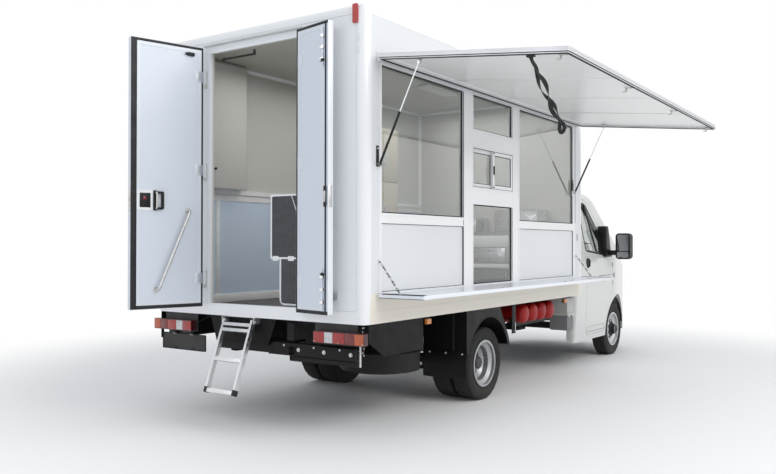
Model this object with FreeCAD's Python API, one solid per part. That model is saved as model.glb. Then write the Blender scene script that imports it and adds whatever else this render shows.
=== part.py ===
import FreeCAD, Part
import math
import os

# Food truck on a light twin-wheeled chassis cab, in millimetres.
# +X is the serving side, +Y is forward and +Z is up.
# The origin is on the ground and the centreline, under the rear axle.

V = FreeCAD.Vector
os.makedirs("parts", exist_ok=True)

# Chassis and wheels
wheelbase = 3742
tyre_radius = 338
tyre_width = 185
bead_radius = 206
front_wheel_x = 866
rear_outer_x = 910
twin_spacing = 215
hub_bore_radius = 36
hub_clearance = 0.05
disc_metal = 7
hub_flange = 12
front_dish = 62
rail_outer_x = 410
rail_width = 70
rail_bottom = 560
rail_height = 150
rail_setback = 190
rail_nose = 738
kingpin_x = 742
kingpin_radius = 14
steer_arch_radius = 462
axle_nose_y = 210

# Body box
box_width = 2250
box_length = 4280
box_bottom = 872
box_height = 2338
corner_radius = 62
wall = 50
edge_profile = 78
sill_height = 93
floor_thickness = 33
panel_gap = 0.3
panel_reveal = 1.5
bearer_height = 25
bearer_width = 50
guard_setback = 40
guard_thickness = 6

# Serving opening in the right wall
opening_rear_margin = 181
opening_front_margin = 233
opening_bottom = 1092
opening_top_margin = 410
window_frame_depth = 44
glass_thickness = 6
rail_line = 1650
rail_depth = 77
middle_bay = 1106
rear_bay_share = 0.4645
column_post = 145
top_light_height = 400
slider_height = 509

# Awning
hinge_standoff = 35
hinge_above_opening = 5
awning_rear_reach = 76
awning_front_reach = 73
awning_depth = 1466
awning_edge = 38
awning_edge_width = 28
awning_core = 22
awning_slope = 5.9
strut_rear_inset = 43
strut_front_inset = 140
strut_arm = 330
strut_drop = 22
strut_base_out = 27
strut_base_drop = 755
strut_tube_radius = 9
strut_rod_radius = 5
strut_tube_length = 392
strut_pin_radius = 4
strut_eye_half = 6
strut_plate_offset = 14

# Counter
counter_rear_reach = 46
counter_front_reach = 55
counter_inner_gap = 14
counter_depth = 400
counter_eye_height = 8
counter_barrel = 4.5
counter_thickness = 28
chain_wall_rise = 234
chain_wall_x = 5
chain_reach = 170
chain_wire = 2.2
chain_width = 7
chain_pitch = 25
chain_peg = 2.2

# Rear doors
door_open_left = -473
door_open_right = 479
door_top_margin = 167
leaf_thickness = 45
leaf_wall_gap = 8
leaf_rise = 68
leaf_top_margin = 130
leaf_hinge_left = -515
leaf_hinge_right = 515
leaf_meeting_x = 120
leaf_meeting_gap = 12
leaf_hinge_gap = 15
left_leaf_angle = 105.8
right_leaf_angle = 168

# Ladder
ladder_left = -275
ladder_right = 53
ladder_standoff = 18
ladder_drop = 34
ladder_length = 590
ladder_lean = 20.5
ladder_rail = 22

# Lamps and plate, heights measured down from the box
marker_rear_inset = 861
marker_front_inset = 537
marker_drop = 17
marker_height = 40
roof_marker_inset = 63
lamp_drop = 60
lamp_height = 90
lamp_width = 468
lamp_overhang = 7
bracket_inset = 85

# Cab, drawn about the front axle
cab_to_box = 26
cab_half_width = 1035
cab_rear_y = -1526
cab_front_y = 1033
cab_corner = 60
cab_back_bottom = 600
cab_bottom = 300
cab_top = 2140
cab_panel = 60
cab_gap = 5
cab_seam = 0.8
cab_axis_x = 1036
cab_hinge_radius = 8
cab_pin_radius = 3
door_rear_y = -1172
door_front_y = -424
door_hinge_edge_y = -242
door_hinge_z = (940, 1170)
door_bottom = 398
engine_nose = 508
bonnet_rear_y = 218
spare_x = 500
spare_y = -990
spare_z = 455
spare_dish = 20

# What hangs below the box
guard_rise = 42
guard_sheet = 6
guard_opening = 395
flap_bottom = 245
flap_thickness = 5
press_depth = 8
side_panel_length = 803
side_panel_bottom = 620
cylinder_radius = 98
cylinder_pitch = 222
cylinder_drop = 133
cylinder_lead = 609
locker_lead = 25
locker_length = 185
locker_bottom = 470
table_setback = 72


def block(x0, x1, y0, y1, z0, z1):
    """Box between two corners."""
    return Part.makeBox(x1 - x0, y1 - y0, z1 - z0, V(x0, y0, z0))


def rod(start, end, radius):
    """Round bar from one point to another."""
    way = end - start
    return Part.makeCylinder(radius, way.Length, start, way)


def tube(start, end, outer, inner):
    """Round tube from one point to another."""
    return rod(start, end, outer).cut(rod(start, end, inner))


def join(shapes):
    """One solid from shapes that meet."""
    result = shapes[0].multiFuse(shapes[1:]) if len(shapes) > 1 else shapes[0]
    return result.removeSplitter()


def place(plane, u, v, at):
    """Point of a drawing plane named by its two axes."""
    if plane == "XY":
        return V(u, v, at)
    if plane == "YZ":
        return V(at, u, v)
    return V(u, at, v)


def outline(corners, plane, at=0):
    """Closed face whose corners are (u, v, radius)."""
    points = [place(plane, c[0], c[1], at) for c in corners]
    count = len(points)
    spans = []
    for i in range(count):
        here = points[i]
        radius = corners[i][2]
        if radius <= 0:
            spans.append((here, None, here))
            continue
        back = (points[i - 1] - here).normalize()
        ahead = (points[(i + 1) % count] - here).normalize()
        half = back.getAngle(ahead) / 2
        reach = radius / math.tan(half)
        middle = here + (back + ahead).normalize() * (radius / math.sin(half))
        crown = middle + (here - middle).normalize() * radius
        spans.append((here + back * reach, crown, here + ahead * reach))
    edges = []
    for i in range(count):
        start, crown, end = spans[i]
        if crown:
            edges.append(Part.Arc(start, crown, end).toShape())
        following = spans[(i + 1) % count][0]
        if (following - end).Length > 1e-6:
            edges.append(Part.LineSegment(end, following).toShape())
    return Part.Face(Part.Wire(edges))


def slab(corners, plane, low, high):
    """Outline drawn on a plane and pulled from low to high."""
    travel = high - low
    way = {"XY": V(0, 0, travel), "YZ": V(travel, 0, 0), "XZ": V(0, travel, 0)}[plane]
    return outline(corners, plane, low).extrude(way)


def rounded_block(x0, x1, y0, y1, z0, z1, radius, plane):
    """Box with the four edges across one plane rounded."""
    if plane == "XY":
        corners, low, high = (x0, x1, y0, y1), z0, z1
    elif plane == "YZ":
        corners, low, high = (y0, y1, z0, z1), x0, x1
    else:
        corners, low, high = (x0, x1, z0, z1), y0, y1
    a, b, c, d = corners
    return slab([(a, c, radius), (b, c, radius), (b, d, radius), (a, d, radius)], plane, low, high)


def bent_bar(points, radius, bend):
    """Round bar along straight runs joined by bends of one radius."""
    pieces = []
    start = points[0]
    for i in range(1, len(points) - 1):
        back = (points[i - 1] - points[i]).normalize()
        ahead = (points[i + 1] - points[i]).normalize()
        half = back.getAngle(ahead) / 2
        reach = bend / math.tan(half)
        middle = points[i] + (back + ahead).normalize() * (bend / math.sin(half))
        crown = middle + (points[i] - middle).normalize() * bend
        corner_in = points[i] + back * reach
        corner_out = points[i] + ahead * reach
        pieces.append(Part.LineSegment(start, corner_in).toShape())
        pieces.append(Part.Arc(corner_in, crown, corner_out).toShape())
        start = corner_out
    pieces.append(Part.LineSegment(start, points[-1]).toShape())
    path = Part.Wire(pieces)
    ring = Part.Wire([Part.Circle(points[0], points[1] - points[0], radius).toShape()])
    return path.makePipeShell([ring], True, False)


def mirrored(shape):
    """The same shape on the other side of the vehicle."""
    return shape.mirror(V(0, 0, 0), V(1, 0, 0))


def turned(shape, centre, axis, degrees):
    """Copy turned about an axis through a point."""
    copy = shape.copy()
    copy.rotate(centre, axis, degrees)
    return copy


def apart(shapes):
    """Several separate solids kept in one node."""
    return Part.makeCompound(shapes)


def save(name, shape):
    shape.exportStep("parts/" + name + ".step")


def save_cab(name, shape):
    """Save a piece of the cab, moved from the front axle to its place on the chassis."""
    moved = shape.copy()
    moved.translate(V(0, wheelbase, 0))
    save(name, moved)


# Places worked out from the driving dimensions
axle_z = tyre_radius
half = box_width / 2
box_front_y = wheelbase + cab_rear_y - cab_to_box
box_rear_y = box_front_y - box_length
box_top = box_bottom + box_height
sill_top = box_bottom + sill_height
floor_bottom = box_bottom
floor_top = floor_bottom + floor_thickness
bearer_bottom = floor_bottom - bearer_height
rail_top = rail_bottom + rail_height
rail_rear_y = box_rear_y + rail_setback
rail_front_y = wheelbase + rail_nose
guard_rear_y = box_rear_y + guard_setback
skin_x = half - panel_reveal
opening_rear_y = box_rear_y + opening_rear_margin
opening_front_y = box_front_y - opening_front_margin
opening_top = box_top - opening_top_margin
column_rear_y = opening_rear_y + (opening_front_y - opening_rear_y - middle_bay) * rear_bay_share
column_front_y = column_rear_y + middle_bay
transom_1 = opening_top - top_light_height
transom_2 = transom_1 - slider_height
awning_hinge_z = opening_top + hinge_above_opening
awning_rear_y = opening_rear_y - awning_rear_reach
awning_front_y = opening_front_y + awning_front_reach
strut_y = (awning_rear_y + strut_rear_inset, awning_front_y - strut_front_inset)
strut_base_x = half + strut_base_out
strut_base_z = opening_top - strut_base_drop
counter_rear_y = opening_rear_y - counter_rear_reach
counter_front_y = opening_front_y + counter_front_reach
counter_top = opening_bottom
chain_wall_z = counter_top + chain_wall_rise
door_open_top = box_top - door_top_margin
leaf_bottom = box_bottom + leaf_rise
leaf_top = box_top - leaf_top_margin
ladder_top_y = box_rear_y - ladder_standoff
ladder_top_z = box_bottom - ladder_drop
marker_y = (box_rear_y + marker_rear_inset, box_front_y - marker_front_inset)
X_AXIS = V(1, 0, 0)
Y_AXIS = V(0, 1, 0)
Z_AXIS = V(0, 0, 1)


def tyre(x):
    """One tyre, its section turned about the axle through x."""
    side = tyre_width / 2
    tread = side - 12
    shoulder = tyre_radius - 10
    bulge = (tyre_radius + bead_radius) / 2 + 8
    bead = side - 24
    section = [
        (x - bead, bead_radius), (x - side, bulge), (x - side + 3, shoulder - 20), (x - tread, tyre_radius),
        (x + tread, tyre_radius), (x + side - 3, shoulder - 20), (x + side, bulge), (x + bead, bead_radius),
    ]
    wire = Part.makePolygon([V(u, 0, v) for u, v in section] + [V(section[0][0], 0, section[0][1])])
    ring = Part.Face(wire).revolve(V(0, 0, 0), X_AXIS, 360)
    ring.translate(V(0, 0, axle_z))
    return ring


def wheel_disc(x, outward, dish):
    """Pressed steel wheel: rim well, dished disc and round vents.

    x is the tyre's middle, outward is +1 or -1 and dish is how far the
    mounting face lies outward of the tyre's middle.
    """
    side = tyre_width / 2
    flange = side - 8
    seat = bead_radius - panel_gap
    lip = seat + 13
    metal = disc_metal
    well = seat - 34
    rim = [
        (-flange, lip), (-flange, seat), (-flange + 28, seat), (-flange + 46, well), (flange - 58, well),
        (flange - 30, seat), (flange, seat), (flange, lip), (flange + 4, lip),
        (flange + 4, seat - metal), (flange - 28, seat - metal), (flange - 60, well - metal),
        (-flange + 48, well - metal), (-flange + 26, seat - metal), (-flange - 4, seat - metal), (-flange - 4, lip),
    ]
    root = min(dish - 34, 24)
    foot = well - metal + 1
    bell = [
        (dish - metal, hub_bore_radius + 16), (dish, hub_bore_radius + 16), (dish, 100), (dish - 22, 128),
        (root, foot), (root - 12, foot), (dish - 36, 122), (dish - metal, 98),
    ]
    solids = []
    for points in (rim, bell):
        placed = [V(x + outward * u, 0, v) for u, v in points]
        solids.append(Part.Face(Part.makePolygon(placed + placed[:1])).revolve(V(0, 0, 0), X_AXIS, 360))
    disc = join(solids)
    vents = []
    vent_radius = 16
    vent_circle = 114
    for i in range(8):
        turn = math.radians(45 * i + 22.5)
        middle = V(x, vent_circle * math.cos(turn), vent_circle * math.sin(turn))
        vents.append(rod(middle - X_AXIS * 120, middle + X_AXIS * 120, vent_radius))
    disc = disc.cut(Part.makeCompound(vents))
    disc.translate(V(0, 0, axle_z))
    return disc


def hub(x_inner, x_outer, flange_x):
    """Wheel hub: drum-shaped body with the bore that turns on the spindle."""
    body = rod(V(x_inner, 0, axle_z), V(x_outer, 0, axle_z), hub_bore_radius + 22)
    plate = rod(V(flange_x, 0, axle_z), V(flange_x + hub_flange, 0, axle_z), 96)
    bore = rod(V(x_inner, 0, axle_z), V(x_outer - 8, 0, axle_z), hub_bore_radius)
    return body.fuse(plate).cut(bore).removeSplitter()


def rear_wheels():
    """Twin wheels on the rear axle, one body on each side."""
    inner_x = rear_outer_x - twin_spacing
    mount_x = (rear_outer_x + inner_x) / 2
    tyres = apart([tyre(rear_outer_x), tyre(inner_x)])
    outer = wheel_disc(rear_outer_x, -1, twin_spacing / 2)
    inner = wheel_disc(inner_x, 1, twin_spacing / 2)
    core = hub(mount_x - 70, mount_x + 120, mount_x - disc_metal - hub_flange)
    rims = join([outer, inner, core])
    save("rear_tyres_right", tyres)
    save("rear_rims_right", rims)
    save("rear_tyres_left", mirrored(tyres))
    save("rear_rims_left", mirrored(rims))


def front_wheels():
    """Front wheels, carried by the steered knuckles."""
    rubber = tyre(front_wheel_x)
    disc = wheel_disc(front_wheel_x, 1, front_dish)
    core = hub(front_wheel_x - 26, front_wheel_x + 128, front_wheel_x + front_dish - disc_metal - hub_flange)
    rims = join([disc, core])
    for shape in (rubber, rims):
        shape.translate(V(0, wheelbase, 0))
    save("front_tyre_right", rubber)
    save("front_rim_right", rims)
    save("front_tyre_left", mirrored(rubber))
    save("front_rim_left", mirrored(rims))


def chassis_frame():
    """Ladder frame: two channel rails, cross members and the spare wheel's carrier."""
    web = 6
    g = panel_gap
    rail = block(rail_outer_x - rail_width, rail_outer_x, rail_rear_y, rail_front_y, rail_bottom, rail_top)
    channel = block(rail_outer_x - rail_width - 1, rail_outer_x - web, rail_rear_y - 1, rail_front_y + 1,
                    rail_bottom + web, rail_top - web)
    rail = rail.cut(channel)
    parts = [mirrored(rail)]
    for y in (rail_rear_y, -700, 700, wheelbase - 1842, wheelbase - 1042, rail_front_y - 100):
        parts.append(block(-rail_outer_x + web + g, rail_outer_x - web - g, y, y + 60, rail_bottom + 20, rail_top - 20))
    arm_low = rail_bottom + 15
    arm = block(rail_outer_x + g, spare_x + 20, spare_y - 20, spare_y + 20, arm_low, arm_low + 30)
    plate_top = spare_z - spare_dish - g
    stem = rod(V(spare_x, spare_y, plate_top - 10), V(spare_x, spare_y, arm_low + 5), 10)
    plate = rod(V(spare_x, spare_y, plate_top - 10), V(spare_x, spare_y, plate_top), 75)
    return parts + [rail, join([arm, stem, plate])]


def body_bearers():
    """Stringers on the rails and the cross bearers that carry the box floor."""
    g = panel_gap
    stringer = block(rail_outer_x - rail_width, rail_outer_x, box_rear_y + wall + 1, box_front_y - wall - 1,
                     rail_top + g, bearer_bottom - g)
    parts = [stringer, mirrored(stringer)]
    reach = half - wall - 60
    bearers = 9
    first = box_rear_y + wall + 40
    last = box_front_y - wall - 40 - bearer_width
    for i in range(bearers):
        y = first + i * (last - first) / (bearers - 1)
        parts.append(block(-reach, reach, y, y + bearer_width, bearer_bottom, floor_bottom - g))
    return parts


def leaf_spring(x):
    """Semi-elliptic spring of three leaves under the rear axle."""
    leaf = 9
    width = 60
    span = 640
    rise = 110
    low = axle_z - 62
    leaves = []
    for i in range(3):
        reach = span * (1 - 0.22 * i)
        lift = rise * (1 - 0.22 * i) ** 2
        top = [V(x, -reach, low - leaf * i + lift), V(x, 0, low - leaf * i), V(x, reach, low - leaf * i + lift)]
        bottom = [point - V(0, 0, leaf) for point in top]
        edges = [
            Part.Arc(*top).toShape(), Part.LineSegment(top[2], bottom[2]).toShape(),
            Part.Arc(*bottom).toShape(), Part.LineSegment(bottom[0], top[0]).toShape(),
        ]
        leaves.append(Part.Face(Part.Wire(edges)).extrude(V(width, 0, 0)))
    ends = low + rise
    for y in (-span, span):
        leaves.append(rod(V(x, y, ends - leaf / 2), V(x + width, y, ends - leaf / 2), 18))
        leaves.append(block(x + 10, x + width - 10, y - 16, y + 16, ends, rail_bottom - panel_gap))
    leaves.append(block(x - 6, x + width + 6, -60, 60, low - 3 * leaf, low + 24))
    return leaves


def rear_axle():
    """Rear axle: tube, differential housing, spindles and leaf springs."""
    inner_x = rear_outer_x - twin_spacing
    mount_x = (rear_outer_x + inner_x) / 2
    shoulder = mount_x - 72
    parts = [rod(V(-shoulder, 0, axle_z), V(shoulder, 0, axle_z), 46)]
    for side in (-1, 1):
        spindle_end = side * (mount_x + 110)
        parts.append(rod(V(side * shoulder, 0, axle_z), V(spindle_end, 0, axle_z), hub_bore_radius - hub_clearance))
        parts.append(rod(V(side * (shoulder - 40), 0, axle_z), V(side * shoulder, 0, axle_z), 120))
    ball = Part.makeSphere(135, V(0, 0, axle_z))
    parts.append(ball)
    parts.append(rod(V(0, 60, axle_z), V(0, axle_nose_y, axle_z), 52))
    spring_x = rail_outer_x - rail_width + 5
    right = leaf_spring(spring_x)
    parts += right
    parts += [mirrored(shape) for shape in right]
    return join(parts)


def front_suspension():
    """Cross member, wishbones and spring legs that carry the knuckles."""
    y = wheelbase
    parts = [block(-380, 380, y - 110, y + 110, 300, 372)]
    for side in (-1, 1):
        parts.append(block(min(side * 330, side * 400), max(side * 330, side * 400), y - 90, y + 90, 372, rail_bottom - 0.3))
        lower = slab([(side * 370, y - 150, 12), (side * 370, y + 150, 12), (side * (kingpin_x + 24), y + 26, 20),
                      (side * (kingpin_x + 24), y - 26, 20)][::side], "XY", 246, 274)
        upper = slab([(side * 390, y - 110, 12), (side * 390, y + 110, 12), (side * (kingpin_x + 22), y + 24, 20),
                      (side * (kingpin_x + 22), y - 24, 20)][::side], "XY", 470, 492)
        link = block(min(side * 360, side * 400), max(side * 360, side * 400), y - 110, y + 110, 246, 310)
        mount = block(min(side * 380, side * 404), max(side * 380, side * 404), y - 90, y + 90, 420, 560 - 0.3)
        pin = rod(V(side * kingpin_x, y, 246), V(side * kingpin_x, y, 492), kingpin_radius)
        leg = rod(V(side * 560, y, 274), V(side * 520, y, 470), 46)
        parts += [lower, upper, link, mount, pin, leg]
    return join(parts)


def knuckle():
    """Right steering knuckle: kingpin sleeve, spindle and steering arm."""
    y = wheelbase
    low = 276
    high = 468
    sleeve = tube(V(kingpin_x, y, low), V(kingpin_x, y, high), 30, kingpin_radius + hub_clearance)
    spindle = rod(V(kingpin_x + 18, y, axle_z), V(front_wheel_x + 108, y, axle_z), hub_bore_radius - hub_clearance)
    plate = rod(V(kingpin_x + 26, y, axle_z), V(front_wheel_x - 30, y, axle_z), 60)
    arm = slab([(kingpin_x - 18, y - 20, 6), (kingpin_x + 18, y - 20, 6), (kingpin_x + 6, y - 190, 12),
                (kingpin_x - 26, y - 190, 12)], "XY", 296, 316)
    bore = rod(V(kingpin_x, y, low - 5), V(kingpin_x, y, high + 5), kingpin_radius + hub_clearance)
    return join([sleeve, spindle, plate, arm]).cut(bore)


def engine_and_gearbox():
    """Engine as one plain block, with gearbox and propeller shaft."""
    gearbox_length = 560
    gearbox_y = wheelbase - 30 - panel_gap
    engine = rounded_block(-230, 230, wheelbase - 30, wheelbase + engine_nose, 420, 980, 30, "XZ")
    gearbox = Part.makeCone(150, 80, gearbox_length, V(0, gearbox_y, 560), V(0, -1, 0))
    shaft_radius = 36
    gearbox_end = gearbox_y - gearbox_length
    tilt = math.atan2(560 - axle_z, gearbox_end - axle_nose_y)
    shaft_start = V(0, gearbox_end - shaft_radius * math.sin(tilt) - panel_gap, 560)
    shaft_end = V(0, axle_nose_y + shaft_radius * math.sin(tilt) + panel_gap, axle_z)
    mounts = []
    for side in (-1, 1):
        a, b = sorted((side * (230 + panel_gap), side * (rail_outer_x - 15)))
        mounts.append(block(a, b, wheelbase + 120, wheelbase + 220, rail_top + panel_gap, rail_top + 40))
    return apart([engine, gearbox, rod(shaft_start, shaft_end, shaft_radius)] + mounts)


def spare_wheel():
    """Spare wheel slung flat under the rear overhang."""
    whole = apart([tyre(0), wheel_disc(0, 1, spare_dish)])
    whole.rotate(V(0, 0, axle_z), Y_AXIS, 90)
    whole.translate(V(spare_x, spare_y, spare_z - axle_z))
    return whole


def box_profiles():
    """Aluminium edge profiles of the box, rounded on the outside."""
    shell = Part.makeBox(box_width, box_length, box_height, V(-half, box_rear_y, box_bottom))
    rounded = []
    for edge in shell.Edges:
        a, b = edge.Vertexes[0].Point, edge.Vertexes[1].Point
        upright = abs(a.z - b.z) > 1
        at_top = min(a.z, b.z) > box_top - 1
        if upright or at_top:
            rounded.append(edge)
    shell = shell.makeFillet(corner_radius, rounded)
    inner = block(-half + wall, half - wall, box_rear_y + wall, box_front_y - wall, box_bottom - 5, box_top - wall)
    shell = shell.cut(inner)
    along = (box_rear_y + edge_profile, box_front_y - edge_profile)
    across = half - edge_profile
    top = box_top - edge_profile
    shell = shell.cut(block(-half - 5, half + 5, along[0], along[1], sill_top, top))
    shell = shell.cut(block(-across, across, box_rear_y - 5, box_front_y + 5, sill_top, top))
    shell = shell.cut(block(-across, across, along[0], along[1], top, box_top + 5))
    return shell


def wall_panel_bounds():
    """Lengthwise, crosswise and height limits of the panels between the profiles."""
    g = panel_gap
    return (box_rear_y + edge_profile + g, box_front_y - edge_profile - g,
            half - edge_profile - g, sill_top + g, box_top - edge_profile - g)


def box_panels():
    """Sandwich panels: floor, roof, both side walls, front and rear walls."""
    y0, y1, across, z0, z1 = wall_panel_bounds()
    outer = half - panel_reveal
    inner = half - wall
    g = panel_gap
    floor = block(-inner + g, inner - g, box_rear_y + wall + g, box_front_y - wall - g, floor_bottom, floor_top)
    roof = block(-across, across, y0, y1, box_top - wall, box_top - panel_reveal)
    left = block(-outer, -inner, y0, y1, z0, z1)
    right = block(inner, outer, y0, y1, z0, z1)
    right = right.cut(block(inner - 5, outer + 5, opening_rear_y, opening_front_y, opening_bottom, opening_top))
    front = block(-across, across, box_front_y - wall, box_front_y - panel_reveal, z0, z1)
    rear = block(-across, across, box_rear_y + panel_reveal, box_rear_y + wall, z0, z1)
    rear = rear.cut(block(door_open_left, door_open_right, box_rear_y - 5, box_rear_y + wall + 5, z0 - 5, door_open_top))
    save("box_panels", apart([floor, roof, left, front]))
    save("box_rear_wall", rear)
    return right


def serving_cells():
    """Openings of the serving window frame as (y0, y1, z0, z1, kind)."""
    rail_low = rail_line - rail_depth / 2
    rail_high = rail_line + rail_depth / 2
    edge = 27
    low = opening_bottom + 10
    high = opening_top - 12
    y0 = opening_rear_y + edge
    y3 = opening_front_y - 58
    a0 = column_rear_y + column_post + 20
    a1 = column_front_y - column_post
    return [
        (y0, column_rear_y - 10, rail_high, high, "glass"),
        (y0, column_rear_y - 10, low, rail_low, "panel"),
        (column_front_y + 10, y3, rail_high, high, "glass"),
        (column_front_y + 10, y3, low, rail_low, "panel"),
        (a0, a1, transom_1 + 85, high, "glass"),
        (a0, a1, transom_2 + 77, transom_1 - 85, "slider"),
        (a0, a1, low, transom_2 - 79, "glass"),
    ]


def serving_window(right_wall):
    """Right wall with the white window frame, its glass, sliders and lower panels."""
    outer_x = half - panel_reveal
    inner_x = outer_x - window_frame_depth
    g = panel_gap
    frame = block(inner_x, outer_x, opening_rear_y + g, opening_front_y - g, opening_bottom + g, opening_top - g)
    panes = []
    panels = []
    middle = (inner_x + outer_x) / 2
    for y0, y1, z0, z1, kind in serving_cells():
        frame = frame.cut(block(inner_x - 5, outer_x + 5, y0, y1, z0, z1))
        if kind == "slider":
            continue
        slot = 8
        depth = glass_thickness / 2 if kind == "glass" else 12
        groove = block(middle - depth - g, middle + depth + g, y0 - slot, y1 + slot, z0 - slot, z1 + slot)
        frame = frame.cut(groove)
        fill = block(middle - depth, middle + depth, y0 - slot + g, y1 + slot - g, z0 - slot + g, z1 + slot - g)
        (panes if kind == "glass" else panels).append(fill)
    save("box_right_wall", apart([right_wall] + panels))
    y0, y1, z0, z1, kind = serving_cells()[5]
    half_y = (y0 + y1) / 2
    sash = 34
    sashes = []
    lights = []
    for a, b, x in ((y0 + g, half_y + sash / 2, middle - 12), (half_y - sash / 2, y1 - g, middle + 12)):
        body = block(x - 10, x + 10, a, b, z0 + g, z1 - g)
        body = body.cut(block(x - 15, x + 15, a + sash, b - sash, z0 + sash, z1 - sash))
        body = body.cut(block(x - 3.3, x + 3.3, a + sash - 8, b - sash + 8, z0 + sash - 8, z1 - sash + 8))
        sashes.append(body)
        lights.append(block(x - 3, x + 3, a + sash - 8 + g, b - sash + 8 - g, z0 + sash - 8 + g, z1 - sash + 8 - g))
    save("serving_frame", apart([frame] + sashes))
    save("serving_glass", apart(panes + lights))


def awning_frame_lines():
    """Hinge point of the awning and the turn that gives its rest slope."""
    return V(half + hinge_standoff, 0, awning_hinge_z), awning_slope


def awning():
    """Awning: edge frame, sandwich core and the two strut brackets."""
    hinge, slope = awning_frame_lines()
    x0 = hinge.x + 12
    x1 = hinge.x + awning_depth
    y0, y1 = awning_rear_y, awning_front_y
    z0, z1 = hinge.z, hinge.z + awning_edge
    rim = rounded_block(x0, x1, y0, y1, z0, z1, 12, "XY")
    w = awning_edge_width
    rim = rim.cut(block(x0 + w, x1 - w, y0 + w, y1 - w, z0 - 5, z1 + 5))
    g = panel_gap
    core = block(x0 + w + g, x1 - w - g, y0 + w + g, y1 - w - g, z1 - awning_core, z1)
    knuckle_bar = tube(V(hinge.x, y0 + 60, hinge.z), V(hinge.x, y1 - 60, hinge.z), 9, 4.05)
    leaf = block(hinge.x + 6, x0 + 4, y0 + 60, y1 - 60, hinge.z, hinge.z + 9)
    rim = join([rim, leaf, knuckle_bar.cut(block(hinge.x + 7, hinge.x + 20, y0, y1, hinge.z - 20, hinge.z + 20))])
    bore = rod(V(hinge.x, y0, hinge.z), V(hinge.x, y1, hinge.z), 4.05)
    rim = rim.cut(bore)
    seat = z1 - awning_core - g
    brackets = []
    for y in strut_y:
        inward = 1 if y < 0 else -1
        plate_y = y + inward * strut_plate_offset
        rim_y = y0 + w - 2 if y < 0 else y1 - w + 2
        arm_x = hinge.x + strut_arm
        ear = slab([(arm_x - 26, seat, 0), (arm_x + 26, seat, 0),
                    (arm_x + 9, z0 - strut_drop - 9, 8), (arm_x - 9, z0 - strut_drop - 9, 8)],
                   "XZ", plate_y - 2, plate_y + 2)
        foot = block(arm_x - 26, arm_x + 26, min(rim_y, plate_y), max(rim_y, plate_y), seat - 3, seat)
        stub = rod(V(arm_x, plate_y, z0 - strut_drop), V(arm_x, y + inward * (strut_eye_half + 0.6), z0 - strut_drop),
                   strut_pin_radius)
        brackets += [ear, foot, stub]
    rim = join([rim] + brackets)
    for shape in (rim, core):
        shape.rotate(hinge, Y_AXIS, slope)
    save("awning_frame", rim)
    save("awning_panel", core)


def awning_hinge_rail():
    """Hinge rail on the box wall with the pin that the awning turns on."""
    hinge, slope = awning_frame_lines()
    y0, y1 = awning_rear_y + 30, awning_front_y - 30
    strip = block(skin_x, half + 4, y0, y1, hinge.z + 14, hinge.z + 62)
    arm = block(skin_x, hinge.x - 12, y0, y1, hinge.z + 14, hinge.z + 20)
    ends = []
    for y in (y0, y1 - 28):
        ends.append(block(skin_x, hinge.x, y, y + 28, hinge.z - 9, hinge.z + 14.5))
        ends.append(rod(V(hinge.x, y, hinge.z), V(hinge.x, y + 28, hinge.z), 9))
    pin = rod(V(hinge.x, y0 + 2, hinge.z), V(hinge.x, y1 - 2, hinge.z), 4)
    bases = []
    for y in strut_y:
        inward = 1 if y < 0 else -1
        plate_y = y + inward * strut_plate_offset
        ear = block(skin_x, strut_base_x + 10, plate_y - 2, plate_y + 2, strut_base_z - 24, strut_base_z + 12)
        plate = block(skin_x, half + 3, plate_y - 16, plate_y + 16, strut_base_z - 40, strut_base_z + 14)
        pin_end = y - inward * (strut_eye_half + 1)
        bases.append(join([ear, plate, rod(V(strut_base_x, plate_y, strut_base_z), V(strut_base_x, pin_end, strut_base_z),
                                           strut_pin_radius)]))
    return [join([strip, arm] + ends + [pin])] + bases


def strut_ends():
    """Lower and upper pivot of the gas struts at rest, in the XZ plane."""
    hinge, slope = awning_frame_lines()
    upper = V(hinge.x + strut_arm, 0, hinge.z - strut_drop)
    point = Part.Vertex(upper)
    point.rotate(hinge, Y_AXIS, slope)
    return V(strut_base_x, 0, strut_base_z), point.Point


def struts():
    """Two gas struts that hold the awning up: tube on the wall, rod on the awning."""
    low, high = strut_ends()
    way = (high - low).normalize()
    tubes = []
    rods = []
    for y in strut_y:
        a = V(low.x, y, low.z)
        b = V(high.x, y, high.z)
        eye = tube(a - Y_AXIS * strut_eye_half, a + Y_AXIS * strut_eye_half, 10, strut_pin_radius + hub_clearance)
        mouth = a + way * (14 + strut_tube_length)
        barrel = rod(a + way * 8, mouth, strut_tube_radius)
        bore_floor = a + way * 22
        barrel = barrel.cut(rod(bore_floor, mouth, strut_rod_radius + hub_clearance))
        barrel = barrel.cut(rod(a - Y_AXIS * 12, a + Y_AXIS * 12, 9))
        tubes.append(join([eye, barrel]))
        head = tube(b - Y_AXIS * strut_eye_half, b + Y_AXIS * strut_eye_half, 9, strut_pin_radius + 0.5)
        shank = rod(mouth - way * 30, b - way * 7, strut_rod_radius)
        rods.append(join([head, shank]))
    save("strut_tubes", apart(tubes))
    save("strut_rods", apart(rods))


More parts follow.
